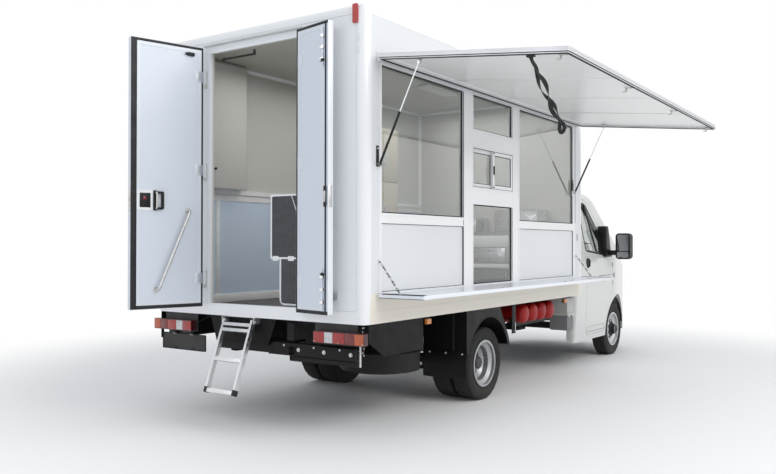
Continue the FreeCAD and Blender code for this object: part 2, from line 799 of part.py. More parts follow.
def counter():
    """Folding counter leaf with its hinge barrel; returns the wall side of the hinge."""
    x0 = half + counter_inner_gap
    x1 = x0 + counter_depth
    top = counter_top
    r = counter_barrel
    y0, y1 = counter_rear_y + 40, counter_front_y - 40
    leaf = rounded_block(x0 + 4, x1, counter_rear_y, counter_front_y, top - counter_thickness, top, 8, "XY")
    leaf = leaf.cut(rod(V(x0, y0 - 2, top), V(x0, y1 + 2, top), r + 1.5))
    barrel = rod(V(x0, y0 + 20, top), V(x0, y1 - 20, top), r)
    bridge = block(x0 + 2, x0 + 14, y0 + 20, y1 - 20, top - 9, top - 3.5)
    eyes = []
    for y in chain_rows():
        eyes.append(block(x0 + chain_reach - 10, x0 + chain_reach + 10, y - 2, y + 2, top - 1, top + counter_eye_height))
    bore = rod(V(x0, counter_rear_y, top), V(x0, counter_front_y, top), 2.05)
    moving = join([leaf, barrel, bridge] + eyes).cut(bore)
    for y in chain_rows():
        upper, lower = chain_ends(y)
        moving = moving.cut(rod(lower - Y_AXIS * 10, lower + Y_AXIS * 10, 1.42 * chain_wire + 0.3))
    save("counter_leaf", moving)
    fixed = [rod(V(x0, y0 + 2, top), V(x0, y1 - 2, top), 2)]
    for y in (y0, y1 - 18):
        fixed.append(block(skin_x, x0, y, y + 18, top - r, top + r))
        fixed.append(rod(V(x0, y, top), V(x0, y + 18, top), r))
    return join(fixed)


def chain_rows():
    """Lengthwise places of the two counter chains."""
    return (counter_rear_y + 45, counter_front_y - 35)


def chain_link_solid(centre, way, side, reach):
    """One oval link made of straight bars, reach to each end along way and spread along side."""
    wide = chain_width
    end = wide * 0.72
    knees = [(-reach, -end), (-reach, end), (-reach * 0.6, wide), (reach * 0.6, wide),
             (reach, end), (reach, -end), (reach * 0.6, -wide), (-reach * 0.6, -wide)]
    normal = way.cross(side)
    path = [centre + way * u + side * v for u, v in knees]
    outer = Part.Face(Part.makePolygon(path + path[:1]))
    ring = outer.makeOffset2D(chain_wire, join=2).cut(outer.makeOffset2D(-chain_wire, join=2))
    ring.translate(normal * -chain_wire)
    return ring.extrude(normal * (2 * chain_wire))


def chain_ends(y):
    """Upper and lower bar centres of the chain at one lengthwise place."""
    upper = V(half + chain_wall_x, y, chain_wall_z)
    lower = V(half + counter_inner_gap + chain_reach, y, counter_top + counter_eye_height / 2 + 0.4)
    return upper, lower


def counter_chains():
    """Two chains from the wall pegs to the counter's eyes."""
    links = []
    for y in chain_rows():
        start, end = chain_ends(y)
        way = end - start
        length = way.Length - panel_gap - 2 * chain_wire
        way.normalize()
        across = way.cross(Y_AXIS)
        count = 2 * int(length / chain_pitch / 2) + 1
        pitch = length / count
        reach = (pitch + panel_gap) / 2 + chain_wire
        for i in range(count):
            middle = start + way * (reach + pitch * i)
            links.append(chain_link_solid(middle, way, Y_AXIS if i % 2 == 0 else across, reach))
    return apart(links)


def chain_eyes():
    """Wall plates whose pegs hold the upper ends of the counter chains."""
    eyes = []
    for y in chain_rows():
        upper, lower = chain_ends(y)
        peg_z = upper.z - 1.5 * chain_wire - chain_peg - panel_gap
        plate = rounded_block(skin_x, half + 1, y - 14, y + 14, peg_z - 12, peg_z + 32, 6, "YZ")
        peg = rod(V(half, y, peg_z), V(upper.x + 3.6, y, peg_z), chain_peg)
        eyes.append(join([plate, peg]))
    return eyes


def leaf_shape(x_hinge, x_free, direction):
    """Closed rear door leaf; direction is +1 when it runs towards +X."""
    y1 = box_rear_y - leaf_wall_gap
    y0 = y1 - leaf_thickness
    a = x_hinge + direction * leaf_hinge_gap
    low, high = min(a, x_free), max(a, x_free)
    panel = rounded_block(low, high, y0, y1, leaf_bottom, leaf_top, 6, "XZ")
    barrels = []
    pin_y = (y0 + y1) / 2
    for z in (leaf_bottom + 180, (leaf_bottom + leaf_top) / 2, leaf_top - 300):
        strap = block(min(x_hinge, a + direction * 4), max(x_hinge, a + direction * 4), pin_y - 4, pin_y + 4, z, z + 110)
        barrels += [strap, rod(V(x_hinge, pin_y, z), V(x_hinge, pin_y, z + 110), 11)]
    bores = [rod(V(x_hinge, pin_y, leaf_bottom), V(x_hinge, pin_y, leaf_top), 5 + hub_clearance)]
    return join([panel] + barrels).cut(bores[0])


def leaf_pin_y():
    return box_rear_y - leaf_wall_gap - leaf_thickness / 2


def rear_doors():
    """Both rear leaves, turned to the angles at which they stand open."""
    pin_y = leaf_pin_y()
    left = leaf_shape(leaf_hinge_left, leaf_meeting_x - leaf_meeting_gap / 2, 1)
    recess = (-8 + leaf_hinge_left + 480, leaf_hinge_left + 592)
    y1 = box_rear_y - leaf_wall_gap
    lock_z = leaf_bottom + 862
    left = left.cut(rounded_block(recess[0], recess[1], y1 - 26, y1 + 1, lock_z - 75, lock_z + 75, 8, "XZ"))
    lock = rounded_block(recess[0] + 12, recess[1] - 34, y1 - 25.7, y1 - 4, lock_z - 58, lock_z + 58, 8, "XZ")
    pull = bent_bar([V(recess[0] - 42, y1, lock_z - 62), V(recess[0] - 42, y1 + 40, lock_z - 62),
                     V(recess[0] - 42, y1 + 40, lock_z + 62), V(recess[0] - 42, y1, lock_z + 62)], 8, 14)
    rail_top_point = V(leaf_hinge_left + 150, y1, lock_z - 75)
    rail_low_point = V(leaf_hinge_left + 420, y1, leaf_bottom + 150)
    stand = 55
    grab = bent_bar([rail_top_point, rail_top_point + Y_AXIS * stand, rail_low_point + Y_AXIS * stand, rail_low_point],
                    11, 30)
    feet = [rod(rail_top_point, rail_top_point + Y_AXIS * 5, 24), rod(rail_low_point, rail_low_point + Y_AXIS * 5, 24)]
    grab = join([grab] + feet)
    centre = V(leaf_hinge_left, pin_y, 0)
    hardware = apart([lock, pull, grab])
    save("rear_door_left", turned(left, centre, Z_AXIS, -left_leaf_angle))
    save("rear_door_left_handles", turned(hardware, centre, Z_AXIS, -left_leaf_angle))
    right = leaf_shape(leaf_hinge_right, leaf_meeting_x + leaf_meeting_gap / 2, -1)
    centre = V(leaf_hinge_right, pin_y, 0)
    bolts = []
    bolt_x = leaf_meeting_x + 60
    for z0, z1 in ((sill_top + 8, leaf_bottom + 330), (leaf_top - 330, door_open_top - 8)):
        bar = rod(V(bolt_x, y1 + 14, z0), V(bolt_x, y1 + 14, z1), 8)
        guide = block(bolt_x - 14, bolt_x + 14, y1, y1 + 6, (z0 + z1) / 2 - 50, (z0 + z1) / 2 + 50)
        bolts.append(join([bar, guide, block(bolt_x - 5, bolt_x + 5, y1, y1 + 14, (z0 + z1) / 2 - 40, (z0 + z1) / 2 + 40)]))
    save("rear_door_right", turned(join([right] + bolts), centre, Z_AXIS, right_leaf_angle))


def door_hinges():
    """Hinge pins and wall plates of the rear leaves, with the door holder."""
    pin_y = leaf_pin_y()
    parts = []
    for x, side in ((leaf_hinge_left, -1), (leaf_hinge_right, 1)):
        for z in (leaf_bottom + 180, (leaf_bottom + leaf_top) / 2, leaf_top - 300):
            pin = rod(V(x, pin_y, z - 26), V(x, pin_y, z + 112), 5)
            foot = rod(V(x, pin_y, z - 28), V(x, pin_y, z - 1), 11)
            plate = block(min(x - 11, x + 11), max(x - 11, x + 11), box_rear_y - 5, box_rear_y + panel_reveal, z - 28, z + 114)
            neck = block(x - 4, x + 4, pin_y, box_rear_y, z - 28, z - 1)
            parts.append(join([pin, foot, plate, neck]))
    holder = block(814, 879, box_rear_y - 28, box_rear_y + panel_reveal, 1039, 1106)
    holder = holder.cut(block(826, 884, box_rear_y - 40, box_rear_y - 10, 1052, 1093))
    parts.append(holder)
    drip_low = door_open_top + 55
    drip = slab([(box_rear_y - 26, drip_low, 0), (box_rear_y + panel_reveal, drip_low + 20, 0),
                 (box_rear_y + panel_reveal, drip_low, 0)], "YZ", door_open_left - 65, door_open_right + 45)
    parts.append(drip)
    return apart(parts)


def ladder():
    """Folding step ladder hung on its pivot pins, leaning out."""
    r = ladder_rail
    z1 = ladder_top_z + 12
    z0 = ladder_top_z - ladder_length
    y = ladder_top_y
    rails = []
    for x in (ladder_left, ladder_right - r):
        rails.append(block(x, x + r, y - 20, y + 20, z0, z1))
    rungs = []
    for z, size in ((ladder_top_z - 32, 12), (ladder_top_z - 78, 12), (ladder_top_z - 318, 16), (z0 + 18, 16)):
        rungs.append(block(ladder_left + r - 1, ladder_right - r + 1, y - 18, y + 18, z - size, z + size))
    frame = join(rails + rungs)
    bore = rod(V(ladder_left - 5, y, ladder_top_z), V(ladder_right + 5, y, ladder_top_z), 6 + hub_clearance)
    frame = frame.cut(bore)
    return turned(frame, V(0, y, ladder_top_z), X_AXIS, -ladder_lean)


def ladder_mount():
    """Bracket and pins that the ladder swings on, fixed under the sill."""
    y = ladder_top_y
    parts = []
    for x0, x1, side in ((ladder_left - 14, ladder_left - 8, -1), (ladder_right + 8, ladder_right + 14, 1)):
        parts.append(block(x0, x1, y - 16, guard_rear_y - panel_gap, ladder_top_z - 16, box_bottom - panel_gap))
        inner = ladder_left + ladder_rail + 4 if side < 0 else ladder_right - ladder_rail - 4
        start = (x0 + x1) / 2
        parts.append(rod(V(start, y, ladder_top_z), V(inner, y, ladder_top_z), 6))
    plate = block(ladder_left - 14, ladder_right + 14, box_rear_y + 2, guard_rear_y - panel_gap, box_bottom - 4.3,
                  box_bottom - panel_gap)
    return join(parts + [plate])


def under_body():
    """Black side panels, rear guard and marker plates below the box."""
    x1 = half - 8
    x0 = x1 - 6
    top = box_bottom - panel_gap
    end = box_rear_y + side_panel_length
    panels = []
    for side in (-1, 1):
        rear = slab([(box_rear_y + 60, top, 0), (box_rear_y + 60, 742, 20), (box_rear_y + 260, side_panel_bottom, 30),
                     (end, side_panel_bottom, 0), (end, top, 0)], "YZ", x0, x1)
        panels.append(rear if side > 0 else mirrored(rear))
    guard = slab([(ladder_left - 225, top, 0), (ladder_left - 150, 655, 10), (150, 655, 0), (240, top, 0)], "XZ",
                 guard_rear_y, guard_rear_y + guard_thickness)
    tabs = []
    for y in marker_y:
        for side in (-1, 1):
            a, b = sorted((side * x0, side * x1))
            tabs.append(block(a, b, y - 24, y + 24, top - marker_drop - marker_height - 7, top))
    return panels + [guard] + tabs


def mudguards():
    """Rear mudguards: arched sheet, side plate, pressed rear panel and hanging flap."""
    inner_x = rear_outer_x - twin_spacing - tyre_width / 2 - 12
    outer_x = rear_outer_x + tyre_width / 2 + 45
    radius = tyre_radius + 96
    middle_z = axle_z + guard_rise
    low = middle_z + 95
    top = box_bottom - panel_gap
    under_bearers = bearer_bottom - panel_gap
    back = -radius - guard_sheet
    below = block(inner_x - 5, outer_x + 5, -radius - 20, radius + 20, -200, low)
    arch = tube(V(inner_x, 0, middle_z), V(outer_x, 0, middle_z), radius + guard_sheet, radius).cut(below)
    plate = slab([(back, low, 0), (back, top, 0), (215, top, 0), (345, 650, 0), (100, low, 0)], "YZ",
                 outer_x - guard_sheet, outer_x)
    disc = rod(V(outer_x - guard_sheet, 0, middle_z), V(outer_x, 0, middle_z), radius + guard_sheet)
    opening = rod(V(outer_x - 20, 0, middle_z), V(outer_x + 5, 0, middle_z), guard_opening)
    side = join([plate, disc]).cut(opening).cut(below)
    panel = block(inner_x, outer_x, back, -radius, low, under_bearers)
    width = outer_x - inner_x
    fold_1 = inner_x + 0.34 * width
    fold_2 = inner_x + 0.72 * width
    pressing = slab([(fold_1, back, 0), (fold_1 + 10, back - press_depth, 0), (fold_2 - 10, back - press_depth, 0),
                     (fold_2, back, 0)], "XY", low + 20, under_bearers)
    flap = rounded_block(inner_x, outer_x - 6, back - flap_thickness, back, flap_bottom, low + 15, 25, "XZ")
    hanger = block(inner_x, inner_x + guard_sheet, -radius, radius, middle_z + radius - 60, under_bearers)
    guard = join([arch, side, panel, pressing, flap, hanger])
    return apart([guard, mirrored(guard)])


def rear_lights():
    """Tail lamps, their brackets, plate carrier, markers and underrun bar."""
    g = panel_gap
    lamp_y = box_rear_y - 24
    lamp_high = box_bottom - lamp_drop
    lamp_low = lamp_high - lamp_height
    lamp_outer = half + lamp_overhang
    lamp_inner = lamp_outer - lamp_width
    behind_lamp = lamp_y + 52 + g
    top = box_bottom - g
    lamps = []
    brackets = []
    for side in (-1, 1):
        a, b = sorted((side * lamp_inner, side * lamp_outer))
        lamps.append(rounded_block(a, b, lamp_y, lamp_y + 52, lamp_low, lamp_high, 10, "XZ"))
        c, d = sorted((side * (lamp_inner - 24), side * (half - bracket_inset)))
        arm = block(c, d, behind_lamp, lamp_y + 58, lamp_low - 6, top)
        foot = block(c, d, behind_lamp, lamp_y + 110, top - 6, top)
        brackets.append(join([arm, foot]))
    save("tail_lamps", apart(lamps))
    plate = rounded_block(-1064, -531, lamp_y + 40, lamp_y + 46, 554, 693, 8, "XZ")
    hanger = block(-1000, -600, lamp_y + 45, lamp_y + 55, 640, 690)
    neck = block(-1000, -700, behind_lamp, lamp_y + 58, 640, lamp_low + 38)
    brackets[0] = join([brackets[0], neck, hanger, plate])
    save("rear_brackets", apart(brackets + [ladder_mount()]))
    bar = rounded_block(140, 1000, box_rear_y + 60, box_rear_y + 120, 588, 690, 12, "YZ")
    lower = rounded_block(396, 1000, box_rear_y + 66, box_rear_y + 114, 552, 588 - g, 8, "YZ")
    legs = [block(348, 404, box_rear_y + 120 + g, rail_rear_y - g, 600, 690),
            block(-404, -348, box_rear_y + 112 + g, rail_rear_y - g, 600, 690)]
    cross = block(-404, 140 - g, box_rear_y + 70, box_rear_y + 112, 596, 682)
    eye = slab([(box_rear_y + 20, 596, 22), (box_rear_y + 20, 660, 22), (box_rear_y + 70, 660, 0),
                (box_rear_y + 70, 596, 0)], "YZ", 360, 384)
    eye = eye.cut(rod(V(350, box_rear_y + 44, 628), V(395, box_rear_y + 44, 628), 11))
    save("underrun_bar", apart([join([bar, eye]), lower, cross] + legs))
    markers = []
    marker_high = box_bottom - marker_drop
    for y in marker_y:
        for side in (-1, 1):
            a, b = sorted((side * (half - 8 + g), side * (half + 12)))
            markers.append(block(a, b, y - 34, y + 34, marker_high - marker_height, marker_high))
    for side in (-1, 1):
        a, b = sorted((side * (half - roof_marker_inset - 44), side * (half - roof_marker_inset)))
        markers.append(rounded_block(a, b, box_rear_y - 14, box_rear_y - g, box_top - 150, box_top - 10, 8, "XZ"))
    save("marker_lamps", apart(markers))


def gas_cylinders():
    """Red gas cylinders lying across the frame with domed ends, and their cradle.

    As many lie there as fit between the mudguards and the locker.
    """
    radius = cylinder_radius
    dome = 56
    inner_x, outer_x = 440, 1010
    z = box_bottom - cylinder_drop
    front_y = box_front_y - cylinder_lead
    room = front_y - (tyre_radius + 96 + guard_sheet + radius)
    count = 1 + int(min(room / cylinder_pitch, 3))
    rear_y = front_y - (count - 1) * cylinder_pitch
    solids = []
    for i in range(count):
        y = rear_y + i * cylinder_pitch
        shapes = [rod(V(inner_x + dome, y, z), V(outer_x - dome, y, z), radius)]
        for x, out in ((inner_x + dome, -1), (outer_x - dome, 1)):
            neck = 30
            shapes.append(Part.makeCone(radius, radius * 0.86, dome * 0.5, V(x, y, z), V(out, 0, 0)))
            shapes.append(Part.makeCone(radius * 0.86, neck, dome * 0.5, V(x + out * dome * 0.5, y, z), V(out, 0, 0)))
        solids.append(join(shapes))
    low = z - radius - panel_gap
    saddles = []
    start, end = rear_y - 120, front_y + 120
    for x in (560, 890):
        saddles.append(block(x - 20, x + 20, start, end, low - 34, z - radius * 0.55))
    arms = [block(rail_outer_x + panel_gap, 910, y, y + 40, low - 34, low - 4) for y in (start, end - 40)]
    cradle = join(saddles + arms)
    for i in range(count):
        y = rear_y + i * cylinder_pitch
        cradle = cradle.cut(rod(V(300, y, z), V(1100, y, z), radius + panel_gap))
    save("gas_cylinders", apart(solids))
    save("cylinder_cradle", cradle)


def locker():
    """Grey locker with an overlapping lid, between the cylinders and the cab."""
    y1 = box_front_y - locker_lead
    y0 = y1 - locker_length
    body = rounded_block(810, 1020, y0, y1, locker_bottom, bearer_bottom - panel_gap, 14, "XZ")
    lid = block(802, 1028, y0 - 8, y1 + 8, 640, 672)
    return join([body, lid])


def interior():
    """Cabinets, wall rail and inner counter that show through door and glass."""
    y0 = box_rear_y + wall + 4
    y1 = box_front_y - wall - 4
    left = -half + wall
    ledge = 1930
    wainscot = block(left, left + 14, y0, y1, floor_top, ledge)
    rail = block(left, left + 30, y0, y1, ledge, ledge + 40)
    band = block(left, left + 20, y0, y1, ledge - 62, ledge - 10)
    upper = block(left, left + 110, y0, box_rear_y + 935, ledge + 40, box_top - wall - 10)
    cabinet = rounded_block(left + 32, -600, box_front_y - 1890, box_front_y - 1290, floor_top, box_top - 450, 6, "XY")
    bench = block(-590, half - wall - 175, y1 - 516, y1, 1560, 1600)
    doors = block(-590, half - wall - 175, y1 - 496, y1, floor_top, 1560)
    save("interior_furniture", apart([join([wainscot, rail, band, upper]), cabinet, join([bench, doors])]))


def folding_table():
    """Folded table behind the rear wall: two dark leaves with pale edges, the lower one in a bent tube."""
    y = box_rear_y + table_setback
    upper = block(150, 600, y, y + 20, 1343, 1843)
    lower = block(252, 560, y + 4, y + 14, 990, 1343)
    post = block(470, 500, y + 20, y + 34, floor_top, 1800)
    brace = block(380, 410, y + 20, y + 34, floor_top, 1800)
    foot = block(360, 520, y + 4, y + 34, floor_top, floor_top + 30)
    clip = block(540, 580, box_rear_y + wall + panel_gap, y, 1500, 1540)
    hoop = bent_bar([V(246, y + 9, 1343), V(246, y + 9, 982), V(566, y + 9, 982), V(566, y + 9, 1343)], 9, 48)
    return join([upper, lower, post, brace, foot, clip, hoop])


def cab_solid(inset):
    """Solid of the cab inside its outer skin, drawn in by inset."""
    i = inset
    side = [
        (cab_rear_y + i, cab_bottom, 0), (cab_rear_y + i, cab_top - 40 - i, 90),
        (-1102, cab_top - i, 900), (-682 - i * 0.3, 2092 - i, 260), (163 - i * 0.6, 1288 - i * 0.9, 420),
        (818 - i * 0.9, 1060 - i, 230), (cab_front_y - 60 - i, 860, 260), (cab_front_y - i, 600, 150),
        (cab_front_y - 40 - i, cab_bottom, 0),
    ]
    plan = [
        (-(cab_half_width - i), cab_rear_y + i, cab_corner), (-(cab_half_width - i), -102, 1500), (-(905 - i), 588, 420),
        (-(560 - i), cab_front_y - 40 - i, 500), (560 - i, cab_front_y - 40 - i, 500), (905 - i, 588, 420),
        (cab_half_width - i, -102, 1500), (cab_half_width - i, cab_rear_y + i, cab_corner),
    ]
    waist = 1240
    front = [
        (-(cab_half_width - i - 26), cab_bottom, 0), (-(cab_half_width - i), 760, 700), (-(cab_half_width - i - 4), waist, 500),
        (-(860 - i), cab_top - 20 - i, 200), (0, cab_top + 10 - i, 4000), (860 - i, cab_top - 20 - i, 200),
        (cab_half_width - i - 4, waist, 500), (cab_half_width - i, 760, 700), (cab_half_width - i - 26, cab_bottom, 0),
    ]
    reach = cab_half_width + 40
    a = slab(side, "YZ", -reach, reach)
    b = slab(plan, "XY", cab_bottom - 10, cab_top + 40)
    c = slab(front, "XZ", cab_rear_y - 20, cab_front_y + 40)
    return a.common(b).common(c)


def cab_door_outline(grow):
    """Side outline of a cab door, made larger by grow."""
    g = grow
    return [
        (door_rear_y - g, door_bottom - g, 30), (door_rear_y - g, 2010 + g, 60), (-852, 2010 + g, 120),
        (door_hinge_edge_y + g, 1391 + g, 60), (door_hinge_edge_y + g, 860, 120), (door_front_y + g, 640, 160),
        (door_front_y - 60 + g, door_bottom - g, 40),
    ]


def side_window_outline(grow):
    """Side outline of the window in a cab door."""
    g = grow
    return [
        (door_rear_y + 60 - g, 1400 - g, 40), (door_rear_y + 60 - g, 1950 + g, 40), (-892, 1950 + g, 70),
        (-412 + g, 1400 + g * 0.4, 30), (-412 + g, 1330 - g, 20),
    ]


def windscreen_outline(grow):
    g = grow
    return [(-(880 + g), 1345 - g, 60), (-(735 + g), 2030 + g, 80), (735 + g, 2030 + g, 80), (880 + g, 1345 - g, 60)]


def bonnet_outline(grow):
    g = grow
    y = bonnet_rear_y - g
    return [(-(700 + g), y, 60), (-(560 + g), 898 + g, 120), (560 + g, 898 + g, 120), (700 + g, y, 60)]


def headlamp_outline(grow):
    g = grow
    return [(560 - g, 830 - g, 30), (560 - g, 960 + g, 30), (900 + g, 1040 + g, 30), (900 + g, 860 - g, 50)]


def cab():
    """Cab shell with its doors, bonnet, glass, lamps and front bumper."""
    outer = cab_solid(0)
    inner = cab_solid(cab_panel)
    open_below = block(-cab_half_width - 50, cab_half_width + 50, cab_rear_y + cab_panel, cab_front_y - 200, cab_bottom - 20, 420)
    skin = outer.cut(inner).cut(open_below.common(cab_solid(cab_panel)))
    glass_skin = outer.cut(cab_solid(glass_thickness))
    g = panel_gap
    shell = skin
    reach = cab_half_width + 60
    for side in (-1, 1):
        low, high = sorted((side * 500, side * reach))
        shell = shell.cut(slab(cab_door_outline(cab_gap), "YZ", low, high))
        shell = shell.cut(rod(V(side * 500, 0, axle_z), V(side * (reach + 20), 0, axle_z), steer_arch_radius))
    rail_room = rail_outer_x + 20
    back_room = cab_half_width - cab_panel - 60
    for width, top in ((rail_room, rail_top + 20), (back_room, cab_back_bottom)):
        shell = shell.cut(block(-width, width, cab_rear_y - 5, cab_rear_y + cab_panel + 5, cab_bottom - 5, top))
    shell = shell.cut(slab(windscreen_outline(0), "XZ", -792, 558))
    hood_cut = slab(bonnet_outline(cab_gap), "XY", 960, 1500)
    shell = shell.cut(hood_cut)
    for side in (-1, 1):
        lamp_cut = slab(headlamp_outline(g), "XZ", 358, 1258)
        shell = shell.cut(lamp_cut if side > 0 else mirrored(lamp_cut))
    grille_cut = rounded_block(-480, 480, 758, 1258, 690, 900, 30, "XZ")
    shell = shell.cut(grille_cut)
    bumper_region = block(-reach, reach, 520, 1258, cab_bottom - 10, 620)
    bumper = outer.cut(cab_solid(cab_panel)).common(bumper_region)
    bumper = bumper.cut(rod(V(-reach, 0, axle_z), V(reach, 0, axle_z), steer_arch_radius))
    tow = rod(V(430, 758, 470), V(430, 1258, 470), 18)
    intake = rounded_block(-380, 380, 758, 1258, 420, 540, 40, "XZ")
    bumper = bumper.cut(intake).cut(tow)
    shell = shell.cut(block(-reach, reach, 520 - cab_seam, 1258, cab_bottom - 10, 620 + cab_seam))
    bars = [rounded_block(-480 + g, 480 - g, 758, 1258, 690 + g, 900 - g, 30, "XZ")]
    surround = outer.cut(cab_solid(30)).common(bars[0])
    for z in (715, 765, 815, 865):
        surround = surround.cut(rounded_block(-452, 452, 758, 1258, z - 14, z + 14, 8, "XZ"))
    save_cab("front_bumper", apart([bumper, surround]))
    lamp = outer.cut(cab_solid(cab_panel)).common(slab(headlamp_outline(0), "XZ", 358, 1258))
    save_cab("headlamps", apart([lamp, mirrored(lamp)]))
    hood = outer.cut(cab_solid(26)).common(slab(bonnet_outline(0), "XY", 962, 1500))
    hinge_z = bonnet_hinge_z()
    shell, hood = bonnet_hinges(shell, hood, hinge_z)
    save_cab("bonnet", hood)
    screen = glass_skin.common(slab(windscreen_outline(-g), "XZ", -792, 558))
    save_cab("windscreen", screen)
    door = skin.common(slab(cab_door_outline(0), "YZ", 500, reach))
    window = slab(side_window_outline(0), "YZ", 500, reach)
    door = door.cut(window)
    shell, door = cab_door_hinges(shell, door)
    shell = mirrored(shell)
    shell, other = cab_door_hinges(shell, door)
    shell = mirrored(shell)
    save_cab("cab_shell", shell)
    pane = cab_solid(20).cut(cab_solid(20 + glass_thickness)).common(slab(side_window_outline(-g), "YZ", 500, reach))
    save_cab("cab_door_right", door)
    save_cab("cab_door_left", mirrored(door))
    save_cab("door_glass_right", pane)
    save_cab("door_glass_left", mirrored(pane))


def bonnet_hinge_z():
    """Height of the cab's skin at the bonnet's rear edge."""
    probe = Part.makeLine(V(0, bonnet_rear_y - cab_gap / 2, 900), V(0, bonnet_rear_y - cab_gap / 2, 1500))
    return probe.common(cab_solid(0)).BoundBox.ZMax


def bonnet_hinges(shell, hood, z):
    """Two pinned hinges in the gap behind the bonnet."""
    y = bonnet_rear_y - cab_gap / 2
    r = 6
    for x in (-450, 410):
        shell = shell.cut(rod(V(x + 14.5, y, z), V(x + 42, y, z), r + 2))
        hood = hood.cut(rod(V(x - 2, y, z), V(x + 14.8, y, z), r + 2))
        fixed = [rod(V(x, y, z), V(x + 14.5, y, z), r), block(x, x + 14.5, y - 14, y, z - 5, z + 1)]
        shell = join([shell] + fixed + [rod(V(x, y, z), V(x + 39, y, z), cab_pin_radius)])
        moving = [rod(V(x + 14.8, y, z), V(x + 40, y, z), r), block(x + 14.8, x + 40, y, y + 14, z - 5, z + 1)]
        bore = rod(V(x + 14, y, z), V(x + 41, y, z), cab_pin_radius + hub_clearance)
        hood = join([hood] + moving).cut(bore)
    return shell, hood


def cab_door_hinges(shell, door):
    """Pinned hinges in the gap ahead of the right door, cut into shell and door."""
    x = cab_axis_x
    y = door_hinge_edge_y + cab_gap / 2
    r = cab_hinge_radius
    for z in door_hinge_z:
        shell = shell.cut(rod(V(x, y, z + 27.8), V(x, y, z + 58), r + 2))
        door = door.cut(rod(V(x, y, z - 2), V(x, y, z + 28.2), r + 2))
        fixed = [rod(V(x, y, z), V(x, y, z + 28), r), block(x - 18, x - 2, y, y + 12, z, z + 28),
                 rod(V(x, y, z), V(x, y, z + 55), cab_pin_radius)]
        shell = join([shell] + fixed)
        moving = [rod(V(x, y, z + 28.3), V(x, y, z + 56), r), block(x - 18, x - 2, y - 12, y, z + 28.3, z + 56)]
        bore = rod(V(x, y, z + 27), V(x, y, z + 58), cab_pin_radius + hub_clearance)
        door = join([door] + moving).cut(bore)
    return shell, door


def mirrors():
    """Door mirrors: foot on the door, arm and a deep head with two glasses."""
    foot = slab([(-562, 1300, 20), (-562, 1480, 40), (-442, 1440, 40), (-322, 1300, 20)], "YZ", 940, 1062)
    foot = foot.cut(cab_solid(-panel_gap))
    arm = rounded_block(1050, 1180, -492, -412, 1330, 1370, 16, "YZ")
    head = rounded_block(1160, 1345, -502, -392, 1272, 1598, 45, "XZ")
    return join([foot, arm, head])


def cab_inside():
    """Cab floor with its seats, dashboard and steering wheel."""
    reach = cab_half_width - cab_panel - 12
    z = rail_top + 20
    floor = block(-reach, reach, cab_rear_y + cab_panel + panel_gap, -462, z, z + 30)
    rear_floor = block(-reach - 72, reach + 72, cab_rear_y + cab_panel - 5, door_rear_y - 20, z, z + 30)
    floor = floor.fuse(rear_floor).common(cab_solid(cab_panel + panel_gap))
    toe = slab([(-502, z + 30, 0), (-502, z, 0), (-182, 1000, 0), (-182, 1150, 0), (-222, 1150, 0), (-222, 1015, 0)], "YZ",
               -620, 620)
    mounts = [block(side * 375 - 30, side * 375 + 30, -1342, -542, rail_top, z) for side in (-1, 1)]
    seats = []
    for x in (-560, 20, 520):
        width = 210 if x < 0 else 225
        base = rounded_block(x - width, x + width, -1322, -842, z + 30, z + 330, 20, "XY")
        cushion = rounded_block(x - width, x + width, -1342, -812, z + 330, z + 450, 40, "YZ")
        back = slab([(-1322, z + 400, 30), (-1202, z + 400, 30), (-1302, z + 1060, 45), (-1412, z + 1060, 45)], "YZ",
                    x - width, x + width)
        head = rounded_block(x - 110, x + 110, -1412, -1312, z + 1055, z + 1200, 30, "YZ")
        seats.append(join([base, cushion, back, head]))
    save_cab("seats", apart(seats))
    dash = slab([(-242, 1122, 20), (-382, 1180, 60), (-402, 1330, 50), (-222, 1370, 40), (-42, 1330, 10), (-182, 1122, 10)],
                "YZ", -840, 840)
    column = rod(V(-480, -342, 1250), V(-480, -512, 1340), 28)
    save_cab("dashboard", join([dash, column, floor, toe] + mounts))
    way = V(0, -170, 90)
    way.normalize()
    hub_back = 24
    centre = V(-480, -512, 1340) + way * (hub_back + panel_gap)
    ring = Part.makeTorus(190, 14, centre, way)
    across = V(1, 0, 0)
    spokes = [rod(centre - across * 185, centre + across * 185, 10),
              rod(centre, centre + way.cross(across) * 185, 10),
              rod(centre - way * hub_back, centre + way * 12, 45)]
    save_cab("steering_wheel", join([ring] + spokes))


rear_wheels()
front_wheels()
save("rear_axle", rear_axle())
save("front_suspension", front_suspension())
right_knuckle = knuckle()
save("knuckle_right", right_knuckle)
save("knuckle_left", mirrored(right_knuckle))
save("engine_and_gearbox", engine_and_gearbox())
save("spare_wheel", spare_wheel())
save("box_profiles", box_profiles())
serving_window(box_panels())
awning()
struts()
counter_hinge = counter()
save("counter_chains", counter_chains())
save("wall_fittings", apart(awning_hinge_rail() + [counter_hinge] + chain_eyes()))
rear_doors()
save("rear_fittings", door_hinges())
save("ladder", ladder())
save("underbody_panels", apart(under_body() + [locker()]))
save("rear_mudguards", mudguards())
rear_lights()
gas_cylinders()
save("chassis_frame", apart(chassis_frame()))
save("body_bearers", apart(body_bearers()))
interior()
save("folding_table", folding_table())
cab()
right_mirror = mirrors()
save_cab("mirror_right", right_mirror)
save_cab("mirror_left", mirrored(right_mirror))
cab_inside()
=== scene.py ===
"""Looks of a box food truck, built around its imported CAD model. Metres, +Z up, +Y forward."""

import math

import bmesh
import bpy
from mathutils import Matrix, Vector
from mathutils.bvhtree import BVHTree


